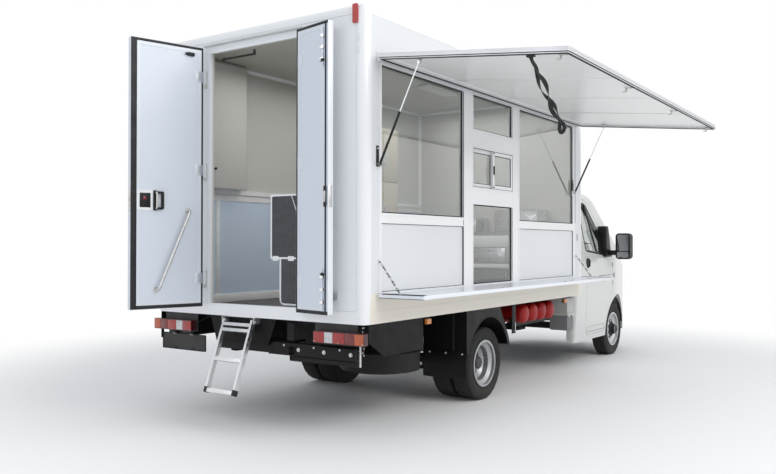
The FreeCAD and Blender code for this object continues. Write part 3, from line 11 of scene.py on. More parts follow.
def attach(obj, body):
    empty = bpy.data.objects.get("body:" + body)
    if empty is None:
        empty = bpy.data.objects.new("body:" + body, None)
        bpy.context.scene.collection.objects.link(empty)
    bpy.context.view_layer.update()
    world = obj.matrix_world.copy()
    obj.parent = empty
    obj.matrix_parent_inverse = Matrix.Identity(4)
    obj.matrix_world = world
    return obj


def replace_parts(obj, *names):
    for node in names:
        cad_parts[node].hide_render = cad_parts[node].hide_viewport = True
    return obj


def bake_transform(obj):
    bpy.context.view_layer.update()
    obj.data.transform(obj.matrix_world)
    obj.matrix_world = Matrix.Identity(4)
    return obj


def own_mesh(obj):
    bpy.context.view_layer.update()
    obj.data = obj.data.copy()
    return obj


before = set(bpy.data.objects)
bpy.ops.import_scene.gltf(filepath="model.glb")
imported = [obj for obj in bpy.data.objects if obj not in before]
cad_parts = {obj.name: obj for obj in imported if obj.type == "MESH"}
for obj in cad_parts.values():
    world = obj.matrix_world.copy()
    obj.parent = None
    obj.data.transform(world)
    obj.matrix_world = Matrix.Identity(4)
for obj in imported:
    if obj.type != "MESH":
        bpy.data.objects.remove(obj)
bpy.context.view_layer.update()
scene = bpy.context.scene

# Sizes that several pieces share
HALF = 1.125
REAR, FRONT = -2.09, 2.19
BOTTOM, SILL_TOP, TOP = 0.872, 0.965, 3.21
EDGE = 0.078
AXLE_Z = 0.338
WHEELBASE = 3.742
LEAF_PIN_Y = -2.1205
LEAF_INNER, LEAF_OUTER = -2.098, -2.143
LEAF_LOW, LEAF_HIGH = LEAF_Z = 0.94, 3.08
AWNING_HINGE = Vector((1.16, 0, 2.805))
LADDER_PIN = Vector((0, -2.108, 0.838))
RIGHT, LEFT, AHEAD, BACK, UP = (1, 0, 0), (-1, 0, 0), (0, 1, 0), (0, -1, 0), (0, 0, 1)
SQUARE = [(-1, -1), (1, -1), (1, 1), (-1, 1)]


def about(point, axis, degrees):
    """Matrix of a turn about an axis through a point."""
    centre = Matrix.Translation(point)
    return centre @ Matrix.Rotation(math.radians(degrees), 4, axis) @ centre.inverted()


LEFT_LEAF_OPEN = about((-0.515, LEAF_PIN_Y, 0), "Z", -105.8)
RIGHT_LEAF_OPEN = about((0.515, LEAF_PIN_Y, 0), "Z", 168)
AWNING_OPEN = about(AWNING_HINGE, "Y", 5.9)
LADDER_OUT = about(LADDER_PIN, "X", -20.5)


# Materials
class Nodes:
    """Node tree of a material or a world."""

    def __init__(self, owner):
        owner.use_nodes = True
        self.nodes = owner.node_tree.nodes
        self.links = owner.node_tree.links

    def put(self, node, inputs):
        """Gives inputs of a node their constant or their link."""
        for key, value in inputs.items():
            if isinstance(value, bpy.types.NodeSocket):
                self.links.new(value, node.inputs[key])
            else:
                node.inputs[key].default_value = value
        return node

    def add(self, kind, inputs, **settings):
        node = self.nodes.new("ShaderNode" + kind)
        for key, value in settings.items():
            setattr(node, key, value)
        return self.put(node, inputs)

    def math(self, operation, *values):
        return self.add("Math", dict(enumerate(values)), operation=operation).outputs[0]


class Shader(Nodes):
    """One node material around a Principled shader."""

    def __init__(self, name, colour, rough, metal=0.0, coat=0.0, specular=0.5, sheen=0.0):
        self.material = bpy.data.materials.new(name)
        super().__init__(self.material)
        self.surface = self.nodes["Principled BSDF"]
        self.rough = rough
        self.metal = metal
        self.give({"Base Color": (*colour, 1), "Roughness": rough, "Metallic": metal, "Coat Weight": coat,
                   "Coat Roughness": 0.08, "Specular IOR Level": specular, "Sheen Weight": sheen})
        self.place = self.nodes.new("ShaderNodeTexCoord").outputs["Object"]

    def give(self, inputs):
        """Sets or links inputs of the surface."""
        self.put(self.surface, inputs)
        return self

    def now(self, key):
        """Socket or constant that an input of the surface has so far."""
        socket = self.surface.inputs[key]
        if socket.links:
            return socket.links[0].from_socket
        return tuple(socket.default_value) if key == "Base Color" else socket.default_value

    def noise(self, scale, detail=3.0, stretch=(1, 1, 1)):
        mapping = self.add("Mapping", {"Scale": stretch, "Vector": self.place})
        place = mapping.outputs["Vector"]
        return self.add("TexNoise", {"Scale": scale, "Detail": detail, "Vector": place}).outputs["Fac"]

    def wave(self, way, scale, distortion=0.0):
        inputs = {"Scale": scale, "Distortion": distortion, "Vector": self.place}
        return self.add("TexWave", inputs, bands_direction=way).outputs["Fac"]

    def spread(self, source, low, high, a=0.3, b=0.7):
        """A value from a to b brought to the range from low to high."""
        inputs = {"From Min": a, "From Max": b, "To Min": low, "To Max": high, "Value": source}
        return self.add("MapRange", inputs).outputs["Result"]

    def coords(self):
        return self.add("SeparateXYZ", {0: self.place}).outputs

    def mask(self, **limits):
        """1 inside the limits, such as x=(low, high)."""
        outputs = self.coords()
        result = None
        for axis, ends in limits.items():
            for operation, limit in zip(("GREATER_THAN", "LESS_THAN"), ends):
                if limit is not None:
                    test = self.math(operation, outputs["xyz".index(axis)], limit)
                    result = test if result is None else self.math("MULTIPLY", result, test)
        return result

    def recolour(self, factor, colour):
        """Another colour where the factor is 1."""
        inputs = {"Factor": factor, 6: self.now("Base Color"), 7: (*colour, 1)}
        return self.give({"Base Color": self.add("Mix", inputs, data_type="RGBA").outputs[2]})

    def mottle(self, amount, scale, detail=4.0):
        """Slow change of tone across the surface."""
        tone = self.spread(self.noise(scale, detail), 1 - amount, 1 + amount)
        toned = self.add("HueSaturation", {"Value": tone, "Color": self.now("Base Color")})
        return self.give({"Base Color": toned.outputs["Color"]})

    def worn(self, amount, scale=9.0, detail=5.0):
        """Roughness that changes over the surface."""
        low, high = max(0.02, self.rough - amount), min(1, self.rough + amount)
        return self.give({"Roughness": self.spread(self.noise(scale, detail), low, high)})

    def bump(self, height, depth, strength):
        node = self.add("Bump", {"Strength": strength, "Distance": depth, "Height": height})
        return self.give({"Normal": node.outputs["Normal"]})

    def grain(self, size, depth, stretch=(1, 1, 1)):
        """Fine bump; size in metres."""
        return self.bump(self.noise(1 / size, 2.0, stretch), depth, 0.6)

    def weave(self, pitch, depth):
        """Crossed threads; pitch in metres."""
        threads = [self.wave(way, 0.32 / pitch, 0.4) for way in "XZ"]
        return self.bump(self.math("MULTIPLY", *threads), depth, 0.7)

    def dust(self, top, fade, strength):
        """Road dust that gathers below a height."""
        low = self.spread(self.coords()[2], strength, 0.0, top - fade, top)
        patch = self.spread(self.noise(5.0, 6.0), 0.25, 1.0)
        return self.recolour(self.math("MULTIPLY", low, patch), (0.3, 0.27, 0.23))

    def bands(self, colour, pitch):
        """Another colour in level bands; pitch in metres."""
        up = self.math("MULTIPLY", self.coords()[2], 1 / pitch)
        return self.recolour(self.math("GREATER_THAN", self.math("FRACT", up), 0.66), colour)

    def zone(self, colour, metal=None, rough=None, **limits):
        """Another colour inside the limits."""
        mask = self.mask(**limits)
        self.recolour(mask, colour)
        for key, value, present in (("Metallic", metal, self.metal), ("Roughness", rough, self.rough)):
            if value is None:
                continue
            if self.surface.inputs[key].links:
                rest = self.math("MULTIPLY", self.now(key), self.math("SUBTRACT", 1.0, mask))
                self.give({key: self.math("ADD", self.math("MULTIPLY", mask, value), rest)})
            else:
                self.give({key: self.spread(mask, present, value, 0, 1)})
        return self


def skin(name, colour, rough, coat, tone=0.02, scale=0.9, detail=4.0):
    """Smooth light sheet or profile."""
    return Shader(name, colour, rough, coat=coat).mottle(tone, scale, detail).worn(0.006, 2.0, 1.0)


def car_paint(name, rough, coat):
    return Shader(name, (0.6, 0.605, 0.598), rough, coat=coat).mottle(0.015, 1.0, 2.0).worn(0.01, 1.5, 1.0)


def glass(name, colour, ior):
    shader = Shader(name, colour, 0.0)
    smear = shader.spread(shader.noise(3.0, 2.0), 0.0, 0.02)
    return shader.give({"Transmission Weight": 1, "IOR": ior, "Roughness": smear})


def lens(name, colour):
    """Moulded lamp lens with fine upright ribs."""
    shader = Shader(name, colour, 0.12, coat=0.6).give({"Transmission Weight": 0.25})
    return shader.bump(shader.wave("X", 60.0), 0.001, 0.5).mottle(0.12, 30.0)


WHITE = (0.8, 0.82, 0.85)
INSIDE = (0.54, 0.54, 0.515)
# Painted light: cream that stands in for the warm bounce light from the ground on the right side under the
# counter, where the counter's shade would fall.
BOUNCE_LIT_CREAM = (0.8, 0.75, 0.66)
BLACK = (0.012, 0.012, 0.013)
LOCKER = {"x": (0.79, 1.04), "y": (1.96, 2.18)}

m = {
    "profile": skin("white_profile", (0.83, 0.845, 0.865), 0.28, 0.4, scale=1.3)
    # Painted bounce light: the sill profile on the right side below the counter in cream.
    .zone(BOUNCE_LIT_CREAM, x=(1.1, None), y=(-2.03, 2.13), z=(None, 1.05)),
    "box": skin("box_skin", (0.72, 0.735, 0.755), 0.32, 0.25)
    .zone((0.06, 0.045, 0.036), rough=0.55, x=(-1.08, 1.08), y=(-2.05, 2.15), z=(0.85, 0.97))
    .zone((0.5, 0.5, 0.45), x=(-1.1, 1.1), y=(-2.05, 2.15), z=(3.1, 3.17))
    .zone(INSIDE, x=(-1.08, 1.1), y=(-2.05, 2.145), z=(0.97, 3.1))
    # Painted bounce light: the right wall below the counter in cream.
    .zone(BOUNCE_LIT_CREAM, x=(1.12, None), z=(None, 1.092)),
    "leaf": skin("leaf_skin", (0.67, 0.72, 0.8), 0.34, 0.2),
    "leaf_rim": skin("leaf_rim", (0.7, 0.74, 0.8), 0.34, 0.3, scale=1.3),
    "cabinet": Shader("cabinet_face", (0.6, 0.595, 0.57), 0.42).mottle(0.02, 0.9),
    "rear_wall": skin("rear_wall_skin", WHITE, 0.34, 0.25, 0.025).zone(INSIDE, y=(-2.06, None)),
    "frame": skin("window_frame_white", (0.84, 0.85, 0.86), 0.26, 0.4, 0.015, 2.0),
    "awning": skin("awning_skin", (0.88, 0.88, 0.87), 0.34, 0.2, 0.02, 1.0, 2.0),
    "counter": Shader("counter_top", (0.76, 0.79, 0.85), 0.3, coat=0.3).mottle(0.015, 2.0, 2.0)
    .worn(0.02, 2.0, 1.0).zone((0.74, 0.755, 0.775), rough=0.4, z=(None, 1.066)),
    "rim_white": Shader("awning_rim", (0.66, 0.67, 0.69), 0.36, 0.55).mottle(0.03, 2.0).worn(0.08),
    "aluminium": Shader("bare_aluminium", (0.72, 0.73, 0.75), 0.34, 1.0).mottle(0.06, 3.0).worn(0.12, 20.0)
    .grain(0.002, 0.0003, (1, 1, 0.08)),
    "black_steel": Shader("black_steel", (0.008, 0.008, 0.009), 0.42, specular=0.18).mottle(0.2, 4.0)
    .worn(0.12).grain(0.004, 0.0004).dust(0.7, 0.6, 0.1),
    "chassis": Shader("chassis_black", (0.01, 0.01, 0.011), 0.55, specular=0.18).mottle(0.25, 5.0)
    .worn(0.12).grain(0.006, 0.0006).dust(0.8, 0.6, 0.1),
    "paint": car_paint("cab_paint", 0.3, 0.7)
    .zone((0.02, 0.02, 0.021), rough=0.7, x=(-0.93, 0.93), y=(3.28, 4.2), z=(None, 0.8)),
    "bumper": car_paint("bumper_paint", 0.32, 0.6)
    .zone((0.022, 0.022, 0.023), rough=0.5, x=(-0.49, 0.49), z=(0.685, 0.905)),
    "plastic": Shader("black_plastic", BLACK, 0.45, specular=0.28).mottle(0.15, 6.0).worn(0.08)
    .grain(0.0012, 0.0003),
    "rubber": Shader("black_rubber", BLACK, 0.62).mottle(0.15, 12.0).worn(0.1).grain(0.002, 0.0003),
    "glass": glass("window_glass", (0.93, 0.96, 0.96), 1.62),
    "cab_glass": glass("cab_glass", (0.68, 0.71, 0.7), 1.5),
    "mirror": Shader("mirror_glass", (0.3, 0.31, 0.32), 0.05, 1.0).mottle(0.05, 4.0),
    "tyre": Shader("tyre_rubber", (0.02, 0.02, 0.02), 0.7, specular=0.25).mottle(0.2, 9.0).worn(0.08)
    .grain(0.003, 0.0005).dust(0.3, 0.3, 0.1),
    "rim": Shader("rim_silver", (0.6, 0.61, 0.63), 0.34, 0.75).mottle(0.06, 8.0).worn(0.1)
    .dust(0.4, 0.4, 0.12),
    "rear_rim": Shader("rear_rim_grey", (0.46, 0.47, 0.48), 0.36, 0.7).mottle(0.08, 8.0).worn(0.1)
    .zone((0.13, 0.13, 0.135), x=(-0.862, 0.862)),
    "chain": Shader("counter_chain", (0.035, 0.035, 0.037), 0.45, 0.3).mottle(0.2, 30.0)
    .bands((0.6, 0.6, 0.6), 0.055),
    "hub_dark": Shader("hub_dark", (0.05, 0.05, 0.055), 0.42, 0.3).mottle(0.15, 12.0).worn(0.1),
    "red": Shader("cylinder_red", (0.34, 0.008, 0.006), 0.42, coat=0.12, specular=0.22).mottle(0.14, 7.0)
    .worn(0.1).grain(0.02, 0.0008),
    "zinc": Shader("zinc_steel", (0.62, 0.62, 0.61), 0.36, 0.9).mottle(0.1, 30.0).worn(0.12),
    "chrome": Shader("chrome", (0.85, 0.86, 0.88), 0.1, 1.0).mottle(0.04, 10.0).worn(0.05),
    "cast": Shader("cast_iron", (0.055, 0.052, 0.05), 0.65, 0.5).mottle(0.25, 10.0).grain(0.004, 0.0008)
    .dust(0.8, 0.6, 0.3),
    "dash": Shader("dash_plastic", (0.045, 0.046, 0.05), 0.6).mottle(0.1, 5.0).grain(0.0015, 0.0004),
    "fabric": Shader("seat_fabric", (0.055, 0.058, 0.066), 0.9, sheen=0.3).mottle(0.18, 40.0)
    .weave(0.004, 0.0006),
    "webbing": Shader("webbing", (0.01, 0.01, 0.011), 0.8, sheen=0.2).mottle(0.2, 60.0)
    .weave(0.0025, 0.0004),
    "furniture": Shader("furniture", (0.6, 0.71, 0.86), 0.4).mottle(0.03, 2.0).worn(0.08)
    .zone((0.42, 0.41, 0.385), x=(None, -0.96), y=(-2.05, -1.15), z=(1.9705, None))
    .zone((0.8, 0.81, 0.82), z=(1.867, 1.9705), x=(None, -1.03))
    .zone((0.55, 0.51, 0.44), x=(-1.05, -0.58), y=(0.2, 1.0))
    .zone((0.3, 0.31, 0.32), metal=0.6, rough=0.3, y=(1.5, None), x=(-0.6, None)),
    "slate": Shader("table_slate", (0.045, 0.048, 0.055), 0.45).mottle(0.15, 25.0).worn(0.1)
    .zone((0.7, 0.71, 0.72), metal=0.2, y=(-1.9975, None)),
    "locker": Shader("underbody", (0.007, 0.007, 0.008), 0.42, specular=0.15).mottle(0.15, 4.0).worn(0.1)
    .zone((0.21, 0.215, 0.22), rough=0.5, z=(0.46, 0.6395), **LOCKER)
    .zone((0.52, 0.525, 0.51), rough=0.45, z=(0.6395, 0.86), **LOCKER),
    "mudguard": Shader("mudguard_plastic", (0.007, 0.007, 0.008), 0.36, specular=0.16).mottle(0.15, 3.0)
    .worn(0.1).grain(0.002, 0.0003).dust(0.5, 0.5, 0.06),
    "brackets": Shader("rear_brackets", (0.016, 0.016, 0.017), 0.5).mottle(0.15, 4.0).worn(0.1)
    .zone((0.66, 0.67, 0.68), metal=0.9, rough=0.35, x=(-0.3, 0.08)),
    "lens_red": lens("lens_red", (0.44, 0.004, 0.005)),
    "lens_dark_red": lens("lens_dark_red", (0.2, 0.005, 0.006)),
    "lens_amber": lens("lens_amber", (0.62, 0.1, 0.012)),
    "lens_clear": lens("lens_clear", (0.72, 0.73, 0.74)),
    "marker": lens("marker_lens", (0.8, 0.24, 0.02)).zone((0.55, 0.01, 0.012), y=(None, -2.08)),
    "lamp_body": Shader("lamp_body", (0.05, 0.005, 0.006), 0.3, coat=0.5).mottle(0.2, 10.0).worn(0.05),
    "headlamp": Shader("headlamp", (0.55, 0.57, 0.59), 0.1, 0.55, coat=1.0).mottle(0.25, 14.0).worn(0.06),
    "light_panel": Shader("light_diffuser", (0.8, 0.8, 0.78), 0.4).mottle(0.03, 9.0).worn(0.05),
    "seam": Shader("seam_light", (0.46, 0.47, 0.49), 0.6).mottle(0.1, 20.0),
    "sealant": Shader("seam_grey", (0.2, 0.205, 0.215), 0.6).mottle(0.1, 20.0).worn(0.1),
}

# CAD nodes that take each finish
NODES_OF = {
    "box": "box_panels box_right_wall", "rear_wall": "box_rear_wall", "profile": "box_profiles",
    "frame": "serving_frame", "glass": "serving_glass", "rim_white": "awning_frame",
    "awning": "awning_panel", "aluminium": "wall_fittings ladder", "chrome": "strut_rods",
    "plastic": "strut_tubes mirror_right mirror_left", "counter": "counter_leaf",
    "chain": "counter_chains", "leaf": "rear_door_left rear_door_right",
    "zinc": "rear_door_left_handles rear_fittings", "locker": "underbody_panels",
    "mudguard": "rear_mudguards", "lamp_body": "tail_lamps", "brackets": "rear_brackets",
    "black_steel": "underrun_bar cylinder_cradle", "marker": "marker_lamps", "red": "gas_cylinders",
    "chassis": "chassis_frame body_bearers rear_axle front_suspension",
    "cast": "knuckle_right knuckle_left engine_and_gearbox", "furniture": "interior_furniture",
    "slate": "folding_table", "paint": "cab_shell bonnet cab_door_right cab_door_left",
    "bumper": "front_bumper", "headlamp": "headlamps", "fabric": "seats",
    "cab_glass": "windscreen door_glass_right door_glass_left", "dash": "dashboard steering_wheel",
    "tyre": "spare_wheel rear_tyres_right rear_tyres_left front_tyre_right front_tyre_left",
    "rear_rim": "rear_rims_right rear_rims_left", "rim": "front_rim_right front_rim_left",
}
for finish, names in NODES_OF.items():
    for name in names.split():
        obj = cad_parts[name]
        if not obj.material_slots:
            obj.data.materials.append(None)
        for place in obj.material_slots:
            place.material = m[finish].material


# Mesh tools
def lay(plane, u, v, at):
    return {"XY": (u, v, at), "YZ": (at, u, v), "XZ": (u, at, v)}[plane]


def spaced(a, b, count):
    return [a + (b - a) * i / (count - 1) for i in range(count)]


def drawn_in(span, by):
    return span[0] + by, span[1] - by


def near(middle, reach):
    """Limits at both sides of a middle."""
    return middle - reach, middle + reach


def ring(count, offset=0.0):
    """Turns that divide a circle, in radians."""
    return [2 * math.pi * (k + offset) / count for k in range(count)]


def rectangle(u, v, radius, inset=0.0):
    """Corners of a rectangle as (u, v, radius), drawn in by the inset."""
    a, b, c, d = u[0] + inset, u[1] - inset, v[0] + inset, v[1] - inset
    return [(a, c, radius), (b, c, radius), (b, d, radius), (a, d, radius)]


MOST_OF_RUN = 0.48


def rounded(points, closed=True, steps=5):
    """Points of a line whose corners (…, radius) are turned into curves."""
    result = []
    count = len(points)
    for i, entry in enumerate(points):
        here = Vector(entry[:-1])
        radius = entry[-1]
        if radius <= 0 or (not closed and i in (0, count - 1)):
            result.append(here)
            continue
        back = Vector(points[i - 1][:-1]) - here
        ahead = Vector(points[(i + 1) % count][:-1]) - here
        reach = min(radius, MOST_OF_RUN * back.length, MOST_OF_RUN * ahead.length)
        a = here + back.normalized() * reach
        b = here + ahead.normalized() * reach
        for k in range(steps + 1):
            t = k / steps
            result.append(a * (1 - t) ** 2 + here * 2 * t * (1 - t) + b * t ** 2)
    return result


def pulled(part, points, way):
    """Solid whose outline is pulled along a way; gives the edges round its two ends."""
    face = part.faces.new([part.verts.new(p) for p in points])
    grown = bmesh.ops.extrude_face_region(part, geom=[face])["geom"]
    bmesh.ops.translate(part, vec=way, verts=[v for v in grown if isinstance(v, bmesh.types.BMVert)])
    return [e for e in part.edges if len(e.link_faces) == 2 and any(len(f.verts) > 4 for f in e.link_faces)]


def soften(part, edges, width, segments=2, profile=0.5):
    bmesh.ops.bevel(part, geom=edges, offset=width, segments=segments, affect="EDGES", profile=profile)


def tube(part, rings, closed=False):
    """Faces between rings of points, with end faces on an open line."""
    for i in range(len(rings) if closed else len(rings) - 1):
        a, b = rings[i], rings[(i + 1) % len(rings)]
        for k in range(len(a)):
            n = (k + 1) % len(a)
            part.faces.new((a[k], a[n], b[n], b[k]))
    if not closed:
        part.faces.new(rings[0][::-1])
        part.faces.new(rings[-1])


def shown(mesh, finish):
    """Object of a mesh with its finish."""
    mesh.materials.clear()
    mesh.materials.append(m[finish].material)
    mesh.shade_smooth()
    obj = bpy.data.objects.new(mesh.name, mesh)
    scene.collection.objects.link(obj)
    return obj


pieces = []
SHARP_ANGLE = math.radians(32)
SUNK = 0.0004


class Piece:
    """A mesh that is put together from bevelled forms and becomes one object."""

    def __init__(self, name, finish, body="truck", slot=None, turn=None):
        self.name = name
        self.finish = finish
        self.body = body
        self.slot = slot
        self.turn = turn
        self.bm = bmesh.new()
        pieces.append(self)

    def take(self, part, matrix=None):
        if matrix is not None:
            bmesh.ops.transform(part, matrix=matrix, verts=part.verts)
        bmesh.ops.recalc_face_normals(part, faces=part.faces)
        mesh = bpy.data.meshes.new("part")
        part.to_mesh(mesh)
        part.free()
        self.bm.from_mesh(mesh)
        bpy.data.meshes.remove(mesh)
        return self

    def block(self, x, y, z, bevel=0.002, segments=2):
        """Bevelled box between limits, given in either order."""
        part = bmesh.new()
        bmesh.ops.create_cube(part, size=1)
        size = [abs(b - a) for a, b in (x, y, z)]
        bmesh.ops.scale(part, vec=size, verts=part.verts)
        bmesh.ops.translate(part, vec=[(a + b) / 2 for a, b in (x, y, z)], verts=part.verts)
        width = min(bevel, 0.4 * min(size))
        soften(part, part.edges[:], width, segments)
        return self.take(part)

    def sheet(self, corners, plane, low, high, bevel=0.0):
        """Outline with rounded corners pulled from low to high."""
        part = bmesh.new()
        points = [lay(plane, p[0], p[1], low) for p in rounded(corners)]
        ends = pulled(part, points, lay(plane, 0, 0, high - low))
        if bevel:
            soften(part, ends, bevel)
        return self.take(part)

    def ring_sheet(self, outer, inner, plane, low, high):
        """Flat ring between two rounded outlines with the same number of corners."""
        part = bmesh.new()
        loops = []
        for at in (low, high):
            for corners in (outer, inner):
                loops.append([part.verts.new(lay(plane, p[0], p[1], at)) for p in rounded(corners)])
        for a, b in ((0, 1), (1, 3), (3, 2), (2, 0)):
            for i in range(len(loops[a])):
                part.faces.new((loops[a][i - 1], loops[a][i], loops[b][i], loops[b][i - 1]))
        return self.take(part)

    def rim(self, u, v, insets, plane, low, high, radii=(0.002, 0.002)):
        """Flat ring between two insets of a rectangle."""
        outer, inner = (rectangle(u, v, radius, inset) for inset, radius in zip(insets, radii))
        return self.ring_sheet(outer, inner, plane, low, high)

    def lathe(self, profile, start, way, steps=24, shape=None, closed=False):
        """Profile of (along, radius) turned about a line; shape can change a radius by its step."""
        part = bmesh.new()
        rings = []
        for row, (along, radius) in enumerate(profile):
            if radius < 1e-6:
                rings.append([part.verts.new((0, 0, along))])
                continue
            spots = []
            for k, angle in enumerate(ring(steps)):
                size = radius + (shape(row, k) if shape else 0)
                spots.append(part.verts.new((size * math.cos(angle), size * math.sin(angle), along)))
            rings.append(spots)
        pairs = list(zip(rings, rings[1:]))
        if closed:
            pairs.append((rings[-1], rings[0]))
        for a, b in pairs:
            for k in range(steps):
                n = (k + 1) % steps
                corners = [a[k % len(a)], a[n % len(a)], b[n % len(b)], b[k % len(b)]]
                corners = list(dict.fromkeys(corners))
                if len(corners) > 2:
                    part.faces.new(corners)
        turn = Vector(way).to_track_quat("Z", "Y").to_matrix().to_4x4()
        return self.take(part, Matrix.Translation(start) @ turn)

    def bar(self, a, b, radius, bevel=0.0015, steps=16):
        """Round bar with softened ends."""
        a, b = Vector(a), Vector(b)
        length = (b - a).length
        bevel = min(bevel, radius * 0.5, length * 0.4)
        profile = [(0, 0), (0, radius - bevel), (bevel, radius), (length - bevel, radius),
                   (length, radius - bevel), (length, 0)]
        return self.lathe(profile, a, b - a, steps)

    def pipe(self, points, width, height=None, sides=10, closed=False, square=False):
        """Tube or flat strip along (x, y, z, bend) points."""
        path = rounded(points, closed, 6)
        height = height or width
        part = bmesh.new()
        rings = []
        count = len(path)
        normal = None
        spots = SQUARE if square else [(math.cos(turn), math.sin(turn)) for turn in ring(sides)]
        for i, here in enumerate(path):
            if closed:
                way = (path[(i + 1) % count] - path[i - 1]).normalized()
            else:
                way = (path[min(i + 1, count - 1)] - path[max(i - 1, 0)]).normalized()
            if normal is None:
                normal = Vector(UP) if abs(way.z) < 0.9 else Vector(RIGHT)
            normal = (normal - way * normal.dot(way)).normalized()
            side = way.cross(normal)
            rings.append([part.verts.new(here + side * (u * width) + normal * (v * height)) for u, v in spots])
        tube(part, rings, closed)
        return self.take(part)

    def staple(self, a, b, out, bend, width, height=None, **form):
        """Pipe from a to b that stands out between them."""
        a, b, out = Vector(a), Vector(b), Vector(out)
        path = [(*a, 0), (*(a + out), bend), (*(b + out), bend), (*b, 0)]
        return self.pipe(path, width, height, **form)

    def rivet(self, at, way, radius=0.004, height=0.0018):
        """Domed rivet or screw head."""
        profile = [(-SUNK, 0), (-SUNK, radius), (0, radius), (height * 0.6, radius * 0.8),
                   (height, radius * 0.35), (height, 0)]
        return self.lathe(profile, at, way, 8)

    def bolt(self, at, way, radius=0.011, height=0.009):
        """Hexagon head on a washer."""
        wide = radius * 1.35
        washer = [(-SUNK, 0), (-SUNK, wide), (0.0016, wide), (0.002, radius * 1.2), (0.002, 0)]
        self.lathe(washer, at, way, 16)
        head = [(0.0016, 0), (0.0016, radius), (height - 0.001, radius), (height, radius * 0.86), (height, 0)]
        return self.lathe(head, at, way, 6)

    def made(self):
        """The finished mesh."""
        pieces.remove(self)
        mesh = bpy.data.meshes.new(self.name)
        self.bm.to_mesh(mesh)
        self.bm.free()
        if self.turn is not None:
            mesh.transform(self.turn)
        return mesh

    def done(self):
        """The piece as an object that rides on its body."""
        obj = shown(self.made(), self.finish)
        obj.data.set_sharp_from_angle(angle=SHARP_ANGLE)
        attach(obj, self.body)
        return obj


# Box body
RIVET_IN, SMALL, LARGE = 0.066, 0.0035, 0.0045
p = Piece("box_rivets", "profile")
for side in (-1, 1):
    for z in spaced(SILL_TOP + 0.08, TOP - 0.12, 13):
        for y, way in ((REAR, -1), (FRONT, 1)):
            p.rivet((side * (HALF - RIVET_IN), y, z), (0, way, 0), SMALL)
            p.rivet((side * HALF, y - way * RIVET_IN, z), (side, 0, 0), SMALL)
    for y in spaced(REAR + 0.12, FRONT - 0.12, 19):
        p.rivet((side * HALF, y, TOP - 0.068), (side, 0, 0), SMALL)
        p.rivet((side * (HALF - RIVET_IN), y, TOP), UP, SMALL)
        p.rivet((side * HALF, y, BOTTOM + 0.018), (side, 0, 0), LARGE)
for x in spaced(-0.98, 0.98, 11):
    p.rivet((x, REAR, BOTTOM + 0.02), BACK, LARGE)
    p.rivet((x, FRONT, BOTTOM + 0.02), AHEAD, LARGE)
    p.rivet((x, FRONT, TOP - 0.068), AHEAD, SMALL)

SEAM_HALF = 0.0022
p = Piece("box_seams", "seam")
across, along, up = (EDGE - HALF, HALF - EDGE), (REAR + EDGE, FRONT - EDGE), (SILL_TOP, TOP - EDGE)
for plane, u, v, level in (("YZ", along, up, 0.0006 - HALF), ("XZ", across, up, REAR + 0.0006),
                           ("XZ", across, up, FRONT - 0.0014), ("XY", across, along, TOP - 0.0014)):
    p.rim(u, v, (-SEAM_HALF, SEAM_HALF), plane, level, level + 0.0008, (0.001, 0.001))

p = Piece("corner_plugs", "profile")
for z in (2.955, 2.865):
    p.sheet(rectangle((1.062, 1.086), near(z, 0.026), 0.012), "XZ", REAR - 0.004, REAR + 0.001, 0.001)

DOOR_X, DOOR_Z = (-0.473, 0.479), (0.965, 3.043)
p = Piece("doorway_seal", "profile")
outer = rectangle((DOOR_X[0] - 0.012, DOOR_X[1] + 0.012), (DOOR_Z[0] - 0.004, DOOR_Z[1] + 0.012), 0.01)
p.ring_sheet(outer, rectangle(DOOR_X, DOOR_Z, 0.01, 0.004), "XZ", REAR - 0.0014, REAR + 0.0018)

p = Piece("door_sill_plate", "aluminium")
p.block(drawn_in(DOOR_X, 0.01), (REAR + 0.002, REAR + 0.048),
        (SILL_TOP - 0.0004, SILL_TOP + 0.003), 0.001)
for x in spaced(DOOR_X[0] + 0.06, DOOR_X[1] - 0.06, 6):
    p.rivet((x, REAR + 0.01, SILL_TOP + 0.003), UP, 0.004)
for y in spaced(REAR + 0.02, REAR + 0.042, 3):
    p.block(drawn_in(DOOR_X, 0.03), near(y, 0.003), (SILL_TOP + 0.0026, SILL_TOP + 0.0045),
            0.0008)

p = Piece("door_stay", "plastic")
p.block((-0.36, -0.02), (REAR + 0.058, REAR + 0.074), (2.985, 3.0), 0.003)
p.bar((-0.36, REAR + 0.066, 2.992), (-0.395, REAR + 0.066, 2.992), 0.011)
p.bar((-0.03, REAR + 0.066, 2.99), (-0.03, REAR + 0.066, 3.03), 0.009)

# Inside the box
p = Piece("ceiling_lights", "light_panel")
for y in (-1.1, 0.5):
    p.block((-0.08, 0.08), (y, y + 0.6), (3.128, 3.1595), 0.008)

p = Piece("cabinet_doors", "furniture")
for low, high in ((1.0, 1.55), (1.56, 2.15), (2.16, 2.74)):
    for y in (0.31, 0.605):
        p.block((-0.6002, -0.585), (y, y + 0.285), (low, high), 0.004)
    for y in (0.575, 0.625):
        p.staple((-0.586, y, low + 0.2), (-0.586, y, low + 0.32), (0.024, 0, 0), 0.01, 0.005)

